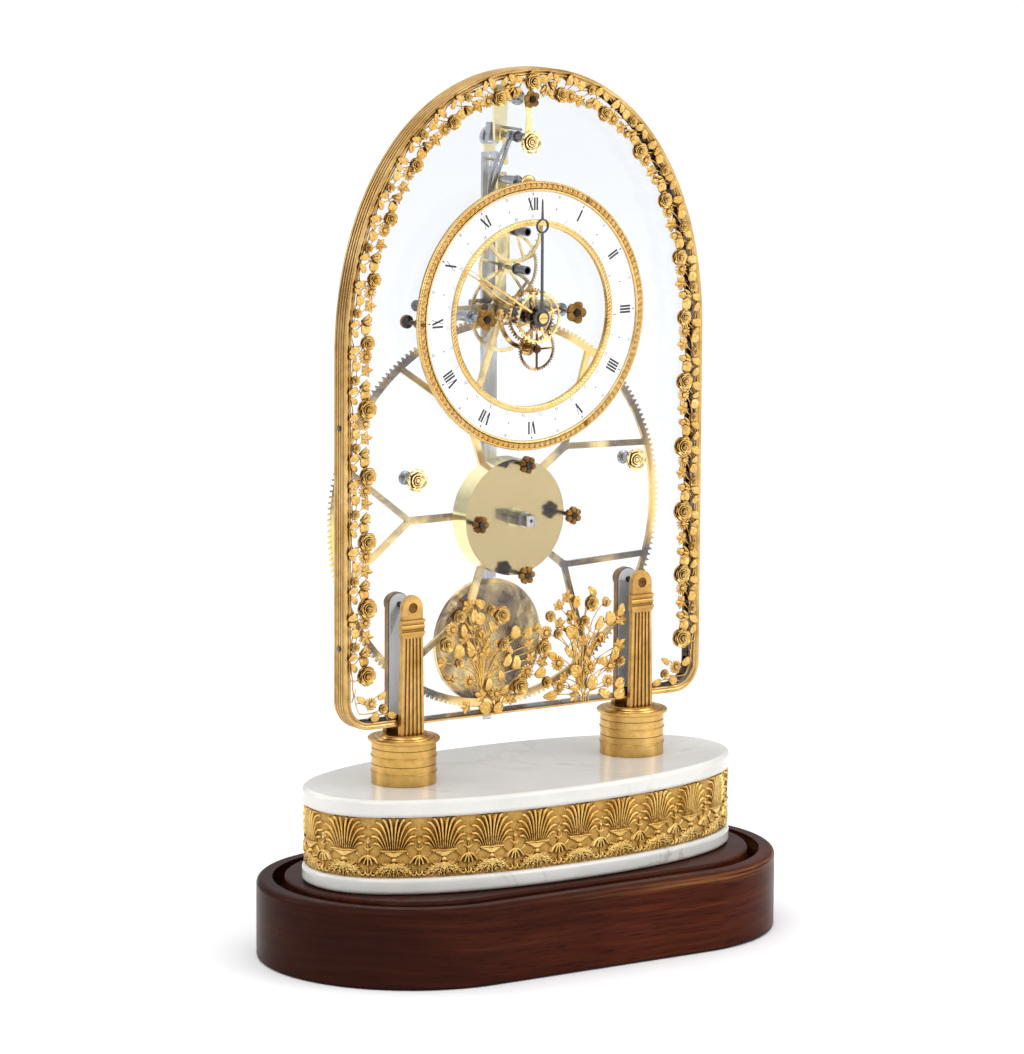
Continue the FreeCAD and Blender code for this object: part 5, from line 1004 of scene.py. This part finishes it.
def petal_nut(build, x, z, r, depth, n, turn, y0=GF, mat=0, dark=1, rib=True):
    """A nut cut as a flower: ribbed petals round a slotted screw end."""
    m = 120
    a = np.arange(m) * TAU / m
    lobe = np.abs(np.cos(n * (a - turn) / 2)) ** 0.55
    rad = r * (0.70 + 0.30 * lobe)
    out = np.column_stack([rad * np.cos(a), rad * np.sin(a)])

    def top(t, ang, u, v):
        lb = np.abs(np.cos(n * (ang - turn) / 2))
        ridge = 0.14 * np.cos(n * 4 * (ang - turn)) * (t > 0.35) * (t < 0.97)
        return depth - 0.55 * t ** 4 * 1.0 - 0.55 * (1 - lb) ** 2 * (t > 0.3) - 0.35 * np.exp(-((t - 0.28) / 0.12) ** 2) + (ridge if rib else 0)
    v, f = disc_relief(out, top, depth - 0.7, rings=(0.0, 0.2, 0.32, 0.45, 0.6, 0.75, 0.88, 0.96, 1.0))
    v[:, 2] = np.maximum(v[:, 2], 0.02)
    build.add(*place((v, f), x, z, 0, 1.0, 0.0, face=y0), mat)
    # slotted end
    rs = r * 0.34
    for sgn in (-1, 1):
        q = np.radians(np.linspace(12, 168, 9))
        out = np.column_stack([rs * np.cos(q), sgn * rs * np.sin(q)])
        out = out if sgn > 0 else out[::-1]
        cc = out.mean(0)
        c, s = math.cos(turn + 0.8), math.sin(turn + 0.8)
        v, f = disc_relief(out, lambda t, an, u, v_: depth + 0.45 - 0.15 * t ** 3, 0.5, rings=(0.0, 0.6, 0.9, 1.0), centre=cc)
        v = np.column_stack([v[:, 0] * c - v[:, 1] * s, v[:, 0] * s + v[:, 1] * c, v[:, 2]])
        build.add(*place((v, f), x, z, 0, 1.0, 0.0, face=y0), dark)
    build.add(*turned([(0.02, depth - 0.3), (rs * 1.02, depth - 0.3), (rs * 1.02, depth + 0.08), (0.02, depth + 0.08)], 20, x, z, cy=0.0)
              if False else place(disc_relief(np.column_stack([rs * np.cos(a[::6]), rs * np.sin(a[::6])]), lambda t, an, u, v_: depth + 0.06 + 0 * t, 0.4, rings=(0, 0.6, 1.0)), x, z, 0, 1.0, 0.0, face=y0), dark)


petal_nut(nb, 27.0, DZ, 5.7, 2.3, 5, 1.2, y0=-7.6)
petal_nut(nb, -27.0, DZ, 5.7, 2.3, 5, 0.9, y0=-7.6)
petal_nut(nb, 0.0, 427.6, 4.5, 2.1, 5, 0.5, y0=-6.6)
for x, z, r, ya, yb in ((27.0, DZ, 3.0, -8.2, GF), (-27.0, DZ, 3.0, -8.2, GF), (0.0, 427.6, 2.6, -7.2, -5.5)):
    nb.add(*turned([(0.02, ya), (r, ya), (r, yb), (0.02, yb)], 40, x, z), 0)
nb.add(*turned([(1.55, -1.7), (3.5, -1.7), (3.95, -1.3), (4.0, -0.9), (4.0, -0.02), (1.55, -0.02)], 48, 0.0, 385.7, cy=GF), 2)
nb.make("petalled_nuts", "root", [brown, screw_dark, ormolu_fine], node="pillar_flower_nuts", angle=45)

sb = Build()
BZ = 215.9
for k in range(4):
    a0 = math.pi / 2 * k
    x, z = 28.1 * math.cos(a0), BZ + 28.1 * math.sin(a0)
    petal_nut(sb, x, z, 4.6, 2.7, 6, 1.57 + k * 0.2, mat=2 if k in (0, 3) else 0, dark=1, rib=False)
    pr = [(0.02, -0.9), (1.0, -0.9), (1.0, 16.4), (0.02, 16.4)]
    sb.add(*turned(pr, 20, x, z, cy=GF), 1)
sb.make("petalled_screws", "root", [brown_dark, screw_dark, brown], node="barrel_screws", angle=45)

# ------------------------------------------------------------------ dial: milled bezel, rope rim, numerals

db = Build()
prof = []
rs = np.concatenate([np.linspace(62.7, 63.6, 4), np.linspace(63.75, 66.2, 14), np.linspace(66.3, 67.5, 9)])
base = np.interp(rs, [62.7, 63.1, 63.6, 63.75, 66.2, 66.4, 66.9, 67.3, 67.5], [-9.75, -10.15, -10.2, -9.62, -9.62, -9.85, -10.12, -9.9, -9.3])
front = np.column_stack([rs, base])
back = np.array([(67.5, -7.1), (67.1, -6.65), (60.0, -6.65), (60.0, -7.86), (63.3, -7.86), (63.3, -9.38), (62.7, -9.38)])
prof = np.vstack([front, back])
NB_, NR_ = 240, 128
na = 1920
ang = np.arange(na) * TAU / na
R = np.repeat(prof[None, :, 0], na, 0)
Y = np.repeat(prof[None, :, 1], na, 0)
th = ang[:, None]
rr = R
mill = (rr > 66.25) & (Y < -7.5)
Y = np.where(mill, Y + 0.42 * (1 - np.abs(np.sin(NB_ / 2 * th + (rr - 66.3) * 1.2))), Y)
# row of small rings with a bead between each pair
mask = (rr > 63.72) & (rr < 66.22) & (Y < -9.0)
arc = (th * NR_ / TAU) % 1.0 - 0.5
du = arc * (TAU * 65.0 / NR_)
dv = rr - 65.0
dist = np.sqrt(du ** 2 + dv ** 2)
ringh = 0.42 * np.exp(-((dist - 0.88) / 0.26) ** 2) + 0.40 * np.exp(-(dist / 0.26) ** 2)
arc2 = (th * NR_ / TAU + 0.5) % 1.0 - 0.5
du2 = arc2 * (TAU * 65.0 / NR_)
ringh += 0.30 * np.exp(-((du2 / 0.28) ** 2 + ((np.abs(dv) - 0.95) / 0.25) ** 2))
Y = np.where(mask, Y + 0.05 - 1.6 * ringh * np.clip((rr - 63.72) * 4, 0, 1) * np.clip((66.22 - rr) * 4, 0, 1), Y)
Y = np.maximum(Y, -10.34)
P = np.stack([R * np.sin(th), Y, DZ + R * np.cos(th)], -1)
db.add(P.reshape(-1, 3), grid_faces(na, len(prof), True, True))
for k in range(3):
    a = math.radians(60 + 120 * k)
    db.add(*turned([(0.02, -0.45), (0.8, -0.45), (1.1, -0.2), (1.1, 1.2), (0.02, 1.2)], 20, 65.0 * math.cos(a), DZ + 65.0 * math.sin(a), cy=-9.9), 1)
db.make("bezel_milled", "root", [ormolu_fine, brown_dark], node="dial_bezel", angle=60)

ib = Build()
rs = np.linspace(45.4, 48.3, 12)
base = np.interp(rs, [45.4, 45.9, 46.8, 47.7, 48.3], [-9.7, -10.05, -10.2, -10.05, -9.6])
back = np.array([(48.3, -9.37), (47.8, -9.37), (47.8, -7.86), (50.5, -7.86), (50.5, -7.25), (45.4, -7.25)])
prof = np.vstack([np.column_stack([rs, base]), back])
na = 1500
ang = np.arange(na) * TAU / na
R = np.repeat(prof[None, :, 0], na, 0)
Y = np.repeat(prof[None, :, 1], na, 0)
th = ang[:, None]
m_ = Y < -9.5
tw = np.abs(np.sin(75 * th + (R - 46.8) * 1.5))
Y = np.where(m_, Y + 0.34 * (1 - tw ** 0.8) * np.clip(1.3 - np.abs(R - 46.85) / 1.3, 0.2, 1), Y)
P = np.stack([R * np.sin(th), Y, DZ + R * np.cos(th)], -1)
ib.add(P.reshape(-1, 3), grid_faces(na, len(prof), True, True))
ib.make("rim_rope", "root", [ormolu_fine], node="dial_inner_rim", angle=60)

eb = Build()


def dial_y(r):
    r = np.asarray(r)
    slope = np.where(r < 50.5, 0.35 * (50.5 - r) / 2.6, np.where(r > 60.5, 0.35 * (r - 60.5) / 2.7, 0.0))
    return DFACE + slope


def mark(poly, ang, radius, mat=0):
    """poly: (across, up) in mm on the dial, feet towards the centre. A thin raised film of fired enamel."""
    poly = np.asarray(poly, float)
    u, v = poly[:, 0], poly[:, 1] + radius
    x = u * math.cos(ang) + v * math.sin(ang)
    z = -u * math.sin(ang) + v * math.cos(ang)
    r = np.hypot(x, z)
    y = dial_y(r)
    n = len(poly)
    V = np.vstack([np.column_stack([x, y - 0.045, DZ + z]), np.column_stack([x, y + 0.02, DZ + z])])
    area = 0.5 * np.sum(u * np.roll(v, -1) - np.roll(u, -1) * v)
    F = [list(range(n)), list(range(2 * n - 1, n - 1, -1))] + [[(i + 1) % n, i, n + i, n + (i + 1) % n] for i in range(n)]
    if area < 0:
        F = [q[::-1] for q in F]
    eb.add(V, F, mat)


def bar(x0, y0, x1, y1, w0, w1=None):
    w1 = w0 if w1 is None else w1
    dx, dy = x1 - x0, y1 - y0
    ln = math.hypot(dx, dy)
    nx, ny = -dy / ln, dx / ln
    return [(x0 + nx * w0 / 2, y0 + ny * w0 / 2), (x0 - nx * w0 / 2, y0 - ny * w0 / 2), (x1 - nx * w1 / 2, y1 - ny * w1 / 2), (x1 + nx * w1 / 2, y1 + ny * w1 / 2)]


ROMAN = ["XII", "I", "II", "III", "IIII", "V", "VI", "VII", "VIII", "IX", "X", "XI"]
HT, THK, THN = 6.3, 1.02, 0.30
for k, word in enumerate(ROMAN):
    ang = TAU * k / 12
    widths = {"I": 1.52, "V": 3.4, "X": 3.4}
    total = sum(widths[c] for c in word)
    x = -total / 2
    for c in word:
        w = widths[c]
        xc = x + w / 2
        if c == "I":
            mark(bar(xc, 0, xc, HT, THK), ang, 53.1)
            mark(bar(xc - 0.52, HT - 0.07, xc + 0.52, HT - 0.07, 0.14), ang, 53.1)
            mark(bar(xc - 0.52, 0.07, xc + 0.52, 0.07, 0.14), ang, 53.1)
        elif c == "V":
            mark(bar(xc - 1.15, HT, xc + 0.1, 0.0, THK), ang, 53.1)
            mark(bar(xc + 1.2, HT, xc + 0.1, 0.0, THN), ang, 53.1)
            mark(bar(xc - 1.6, HT - 0.07, xc - 0.6, HT - 0.07, 0.14), ang, 53.1)
            mark(bar(xc + 0.85, HT - 0.07, xc + 1.5, HT - 0.07, 0.14), ang, 53.1)
        else:
            mark(bar(xc - 1.15, HT, xc + 1.15, 0.0, THK), ang, 53.1)
            mark(bar(xc + 1.15, HT, xc - 1.15, 0.0, THN), ang, 53.1)
            for sx, sy in ((-1.15, HT - 0.07), (1.15, HT - 0.07), (-1.15, 0.07), (1.15, 0.07)):
                mark(bar(xc + sx - 0.42, sy, xc + sx + 0.42, sy, 0.14), ang, 53.1)
        x += w
DIG = {
    "0": [[(0.5, 1), (0.15, 0.85), (0.05, 0.5), (0.15, 0.15), (0.5, 0), (0.85, 0.15), (0.95, 0.5), (0.85, 0.85), (0.5, 1)]],
    "1": [[(0.25, 0.8), (0.55, 1.0), (0.55, 0.0)]],
    "2": [[(0.1, 0.78), (0.3, 1.0), (0.7, 1.0), (0.88, 0.75), (0.6, 0.42), (0.08, 0.0), (0.92, 0.0)]],
    "3": [[(0.12, 0.9), (0.5, 1.0), (0.85, 0.78), (0.5, 0.53), (0.9, 0.27), (0.5, 0.0), (0.1, 0.12)]],
    "4": [[(0.7, 0.0), (0.7, 1.0), (0.08, 0.3), (0.95, 0.3)]],
    "5": [[(0.85, 1.0), (0.25, 1.0), (0.18, 0.55), (0.6, 0.6), (0.9, 0.32), (0.55, 0.0), (0.1, 0.1)]],
    "6": [[(0.8, 0.95), (0.35, 0.8), (0.1, 0.35), (0.35, 0.0), (0.75, 0.05), (0.9, 0.32), (0.55, 0.55), (0.15, 0.4)]],
    "7": [[(0.08, 1.0), (0.92, 1.0), (0.4, 0.0)]],
    "8": [[(0.5, 0.54), (0.15, 0.76), (0.5, 1.0), (0.85, 0.76), (0.5, 0.54), (0.08, 0.25), (0.5, 0.0), (0.92, 0.25), (0.5, 0.54)]],
    "9": [[(0.2, 0.05), (0.65, 0.2), (0.9, 0.65), (0.65, 1.0), (0.25, 0.95), (0.1, 0.68), (0.45, 0.45), (0.85, 0.6)]],
}


def digits(text, ang, radius, ht, mat=1, w=0.2):
    wd = ht * 0.52
    x = -wd * len(text) * 1.15 / 2
    for c in text:
        for line in DIG[c]:
            for (ax, ay), (bx, by) in zip(line[:-1], line[1:]):
                steep = abs(by - ay) * ht > abs(bx - ax) * wd
                mark(bar(x + ax * wd, ay * ht, x + bx * wd, by * ht, w if steep else w * 0.55), ang, radius, mat)
        x += wd * 1.15


for k in range(31):
    digits(str(k + 1), TAU * (k + 1) / 31, 49.15, 1.75)
for k in range(144):
    ang = TAU * k / 144
    if k % 12 == 0:
        mark([(0, -0.85), (0.42, 0), (0, 0.85), (-0.42, 0)], ang, 61.15)
    elif k % 12 == 6:
        digits("30", ang, 60.0, 1.6)
        mark([(0, -0.75), (0.36, 0), (0, 0.75), (-0.36, 0)], ang, 54.6)
    else:
        q = np.arange(8) * TAU / 8
        mark(np.column_stack([0.21 * np.cos(q), 0.21 * np.sin(q)]), ang, 60.95)
eb.make("dial_numerals", "root", [ink, ink_soft], smooth=False)

# ------------------------------------------------------------------ frieze: palmettes in dishes over acanthus

fb = Build()
FA, FBY = frieze_hi[0], frieze_hi[1]
FZ0, FZ1 = frieze_lo[2], frieze_hi[2]
FH = FZ1 - FZ0
t = np.linspace(0, TAU, 20001)
c, s = np.cos(t), np.sin(t)
pw = 2.24
EX, EY = FA * np.sign(c) * np.abs(c) ** (2 / pw), FBY * np.sign(s) * np.abs(s) ** (2 / pw)
EL = np.concatenate([[0], np.cumsum(np.hypot(np.diff(EX), np.diff(EY)))])
NU = 23
UW = EL[-1] / NU
nx, nz = 96, 118
gx = (np.arange(nx) + 0.5) / nx * UW - UW / 2
gz = np.linspace(0, FH, nz)
GX, GZ = np.meshgrid(gx, gz, indexing="ij")
relief = np.zeros_like(GX)


def stroke(pts, radii, hts, wrap=True, step=0.22, flat=0.0):
    """Half-round strip along a path; its width and height vary."""
    global relief
    pts = np.asarray(pts, float)
    d_ = np.hypot(*np.diff(pts, axis=0).T)
    S = np.concatenate([[0], np.cumsum(d_)])
    n = max(2, int(S[-1] / step))
    q = np.linspace(0, S[-1], n)
    X = np.interp(q, S, pts[:, 0])
    Z = np.interp(q, S, pts[:, 1])
    Rr = np.interp(q / S[-1], np.linspace(0, 1, len(radii)), radii)
    Hh = np.interp(q / S[-1], np.linspace(0, 1, len(hts)), hts)
    for x, z, r, h_ in zip(X, Z, Rr, Hh):
        for off in ((-UW, 0, UW) if wrap else (0,)):
            if abs(x + off) > UW / 2 + r:
                continue
            d2 = ((GX - x - off) ** 2 + (GZ - z) ** 2) / (r * r)
            relief = np.maximum(relief, np.where(d2 < 1, h_ * np.sqrt(np.clip(1 - d2, 0, 1)) * (1 - flat) + h_ * flat * (d2 < 1), 0))


def quad(p0, p1, p2, n=14):
    return bez(p0, p1, p2, n)


# fan of club-ended lobes
tips = [(1.9, 29.7), (5.0, 29.4), (8.2, 28.0), (10.4, 25.0), (10.3, 21.0), (9.4, 17.4)]
for i, (tx, tz) in enumerate(tips):
    bx = 0.5 + i * 1.0
    for sg in (-1, 1):
        p0 = (sg * bx, 14.6)
        p1 = (sg * (bx + (tx - bx) * (0.12 + 0.08 * i)), 14.6 + (tz - 14.6) * (0.80 + 0.07 * i))
        stroke(quad(p0, p1, (sg * tx, tz), 20), (0.36, 0.46, 0.62, 0.86, 0.90), (0.8, 1.0, 1.25, 1.50, 1.55))
# dish, its tapering foot and ball
stroke([(-6.4, 13.75), (0, 13.6), (6.4, 13.75)], (0.5, 0.62, 0.5), (1.3, 1.65, 1.3))
for hw, zz, hh in ((5.3, 12.95, 1.25), (3.9, 12.3, 1.2), (2.6, 11.6, 1.15), (1.5, 10.9, 1.1)):
    stroke([(-hw, zz), (hw, zz)], (0.55, 0.55), (hh * 0.8, hh * 0.8), flat=0.5)
stroke([(0, 9.0), (0.02, 9.0)], (1.5, 1.5), (1.65, 1.65))
# acanthus: leaves spread from under the ball, with curled serrated lobes
stroke([(0, 7.2), (0, 4.0), (0, 0.8)], (0.8, 0.7, 0.5), (1.2, 1.3, 1.2))
for sg in (-1, 1):
    for (ex, ez), nl, r0 in (((2.6, 0.9), 4, 0.62), ((6.2, 0.9), 6, 0.66), ((9.6, 1.2), 8, 0.66)):
        spine = quad((sg * 0.5, 7.0), (sg * (ex * 0.62), 6.9 if ex > 3 else 5.0), (sg * ex, ez), 26)
        stroke(spine, (0.55, r0, r0, 0.5), (0.95, 1.15, 1.15, 1.0))
        for q in range(nl):
            i = int(5 + q * 19.0 / nl)
            p = spine[i]
            tng = spine[min(i + 1, 25)] - spine[i - 1]
            tng /= np.hypot(*tng)
            for up in (1, -1):
                nr = np.array([-tng[1], tng[0]]) * up * sg
                ln_ = (1.5 if up > 0 else 1.2) * (1.0 - 0.04 * q)
                e = p + nr * ln_ + tng * 0.9
                stroke(quad(p, p + nr * ln_ * 0.7, e, 7), (0.30, 0.46, 0.40), (0.8, 1.25, 1.45))
    # curled end of the leaf and the straight stalk from the dish
    stroke(quad((sg * 9.4, 1.6), (sg * 10.9, 0.9), (sg * 11.0, 2.6), 10), (0.6, 0.55, 0.5), (1.2, 1.25, 1.1))
    stroke([(sg * 6.0, 12.9), (sg * 10.0, 8.4)], (0.24, 0.24), (0.75, 0.75))
    stroke([(sg * 1.6, 8.2), (sg * 7.2, 5.6)], (0.22, 0.22), (0.6, 0.6))
# drooping bell flower and bud between the palmettes
cx = UW / 2
for dz, rr_ in ((0.0, 1.25), (0.9, 0.85), (-0.9, 0.85), (1.6, 0.4), (-1.6, 0.4)):
    stroke([(cx, 18.8 + dz), (cx, 18.82 + dz)], (rr_, rr_), (1.35, 1.35))
stroke([(cx, 17.0), (cx, 11.2)], (0.32, 0.38), (0.85, 0.95))
for sg in (-1, 1):
    stroke(quad((cx, 13.4), (cx + sg * 0.9, 14.9), (cx + sg * 1.9, 15.2), 9), (0.35, 0.6, 0.35), (1.0, 1.2, 0.9))
    stroke(quad((cx, 11.2), (cx + sg * 2.6, 11.3), (cx + sg * 4.4, 7.6), 14), (0.55, 0.85, 0.80), (1.1, 1.45, 1.35))
    stroke(quad((cx, 10.8), (cx + sg * 1.5, 9.9), (cx + sg * 1.9, 7.0), 12), (0.55, 0.75, 0.72), (1.2, 1.5, 1.45))
    stroke(quad((cx, 1.0), (cx + sg * 1.0, 1.9), (cx + sg * 1.6, 3.4), 8), (0.45, 0.5, 0.35), (1.1, 1.2, 1.0))
stroke([(cx, 10.9), (cx, 6.4)], (0.55, 0.62), (1.45, 1.5))
stroke([(cx, 6.4), (cx, 0.5)], (0.34, 0.42), (1.0, 1.05))
# dished eye in the finial
relief -= 0.8 * np.exp(-(((np.abs(GX) - UW / 2) / 0.45) ** 2 + ((GZ - 18.8) / 0.5) ** 2))
relief = np.maximum(relief, 0.0)
ground = 0.05 * np.sin(GX * 5.1 + GZ * 3.3) * np.sin(GZ * 6.2 - GX * 2.2)
height = np.where(relief > 0.12, relief, relief + np.clip(ground, 0, 1) * 0.5)
nS = NU * nx
sa = (np.arange(nS) + 0.5) / nS * EL[-1] - 0.26 * UW
sa = np.mod(sa, EL[-1])
px, py = np.interp(sa, EL, EX), np.interp(sa, EL, EY)
tx, ty = np.interp(sa, EL, np.gradient(EX, EL)), np.interp(sa, EL, np.gradient(EY, EL))
ln = np.hypot(tx, ty)
onx, ony = ty / ln, -tx / ln
flipn = (onx * px + ony * py) < 0
onx, ony = np.where(flipn, -onx, onx), np.where(flipn, -ony, ony)
idx = (np.arange(nS)) % nx
Hm = height[idx] * 1.12 + 0.30
Hm[:, 0] = 0.45
Hm[:, -1] = 0.45
outer = np.stack([px[:, None] + onx[:, None] * (Hm - 0.3), py[:, None] + ony[:, None] * (Hm - 0.3), np.repeat(FZ0 + gz[None, :], nS, 0)], -1)
lim = 0.0
inner = np.stack([px[:, None] - onx[:, None] * 1.35 + 0 * gz[None, :2], py[:, None] - ony[:, None] * 1.35 + 0 * gz[None, :2], np.repeat(np.array([[FZ1, FZ0]]), nS, 0)], -1)
ringp = np.concatenate([outer, inner], 1)
gf = grid_faces(nS, nz + 2, True, True, flip=False)
lowr = np.concatenate([relief[idx] < 0.14, np.ones((nS, 2), bool)], 1).reshape(-1)
fb.add(ringp.reshape(-1, 3), gf, [1 if lowr[list(q)].all() else 0 for q in gf])
fb.make("frieze_relief", "root", [ormolu_frieze, ormolu_ground], node="frieze_band", angle=65)

# ------------------------------------------------------------------ drum mouldings: fine milled rings on the turned drums

dm = Build()
for sx in (-69.4, 69.4):
    for zc, rad in ((88.7 + 6.1, 16.55), (88.7 + 14.1, 16.55)):
        n = 260
        a = np.arange(n) * TAU / n
        rowp = []
        for q in np.arange(6) * TAU / 6:
            rw = 0.26 * (1 + 0.28 * np.sin(a * 130))
            rowp.append(np.column_stack([sx + (rad - 0.02 + rw * math.cos(q)) * np.cos(a), (rad - 0.02 + rw * math.cos(q)) * np.sin(a), zc + rw * math.sin(q)]))
        P = np.stack(rowp, 1)
        dm.add(P.reshape(-1, 3), grid_faces(n, 6, True, True, flip=True))
dm.make("drum_milled_rings", "root", [ormolu_drum], angle=60)

# ------------------------------------------------------------------ floor, lights, camera

me = bpy.data.meshes.new("floor")
S = 14.0
me.from_pydata([(-S, -S, 0), (S, -S, 0), (S, S, 0), (-S, S, 0)], [], [(0, 1, 2, 3)])
floor = bpy.data.objects.new("floor", me)
bpy.context.scene.collection.objects.link(floor)
fm = Mat("floor_pale")
cc = fm.coord()
floor.data.materials.append(fm.shade(Base_Color=fm.mix(fm.noise(cc, 2.0, 2.0), (0.93, 0.93, 0.93), (0.95, 0.95, 0.95)), Roughness=0.75, Specular_IOR_Level=0.1))
floor.location.z = -0.0004


def area(name, loc, target, size, power, colour=(1, 1, 1), shape="RECTANGLE", size_y=None):
    L = bpy.data.lights.new(name, "AREA")
    L.shape = shape
    L.size = size
    if size_y:
        L.size_y = size_y
    L.energy = power
    L.color = colour
    o = bpy.data.objects.new(name, L)
    o.location = loc
    d_ = (Vector(target) - Vector(loc)).normalized()
    o.rotation_euler = d_.to_track_quat("-Z", "Y").to_euler()
    bpy.context.scene.collection.objects.link(o)
    return o


area("key", (-1.6, -1.3, 1.7), (0, 0, 0.2), 1.1, 9.5, size_y=1.5)
area("fill", (1.9, -1.5, 1.0), (0, 0, 0.22), 1.0, 6.5, size_y=1.4)
area("front_floor", (1.1, -1.7, 1.3), (1.0, -1.6, 0.0), 1.2, 15.0, size_y=1.2)
area("back_left", (-1.7, 1.6, 1.1), (0, 0, 0.25), 0.9, 8.0, size_y=1.2)

world = bpy.data.worlds.new("studio")
bpy.context.scene.world = world
world.use_nodes = True
wt = world.node_tree
wt.nodes.clear()
wo = wt.nodes.new("ShaderNodeOutputWorld")
bg = wt.nodes.new("ShaderNodeBackground")
tcw = wt.nodes.new("ShaderNodeTexCoord")
sep = wt.nodes.new("ShaderNodeSeparateXYZ")
rmp = wt.nodes.new("ShaderNodeValToRGB")
wt.links.new(tcw.outputs["Generated"], sep.inputs[0])
wt.links.new(sep.outputs[2], rmp.inputs[0])
els = rmp.color_ramp.elements
els[0].position, els[0].color = 0.0, (0.36, 0.36, 0.37, 1)
els[1].position, els[1].color = 0.62, (1.0, 1.0, 1.0, 1)
e = els.new(0.25)
e.color = (0.34, 0.345, 0.355, 1)
wt.links.new(rmp.outputs[0], bg.inputs[0])
bg.inputs[1].default_value = 1.30
wt.links.new(bg.outputs[0], wo.inputs[0])

yaw, pitch, roll = math.radians(33.768), math.radians(9.449), math.radians(0.346)
fwd = Vector((math.sin(yaw) * math.cos(pitch), math.cos(yaw) * math.cos(pitch), -math.sin(pitch)))
right = Vector((math.cos(yaw), -math.sin(yaw), 0.0))
up = right.cross(fwd)
r2 = right * math.cos(roll) + up * math.sin(roll)
u2 = -right * math.sin(roll) + up * math.cos(roll)
cam_d = bpy.data.cameras.new("camera")
cam = bpy.data.objects.new("camera", cam_d)
cam_d.sensor_width = 36.0
cam_d.sensor_fit = "AUTO"
cam_d.lens = 5743.007 / 1054.0 * 36.0
cam_d.clip_end = 60.0
cam.matrix_world = Matrix(((r2.x, u2.x, -fwd.x, -1.587381), (r2.y, u2.y, -fwd.y, -2.366273), (r2.z, u2.z, -fwd.z, 0.685752), (0, 0, 0, 1)))
bpy.context.scene.collection.objects.link(cam)
bpy.context.scene.camera = cam
sc = bpy.context.scene
sc.view_settings.view_transform = "Standard"
sc.view_settings.look = "None"
sc.view_settings.exposure = 0.0
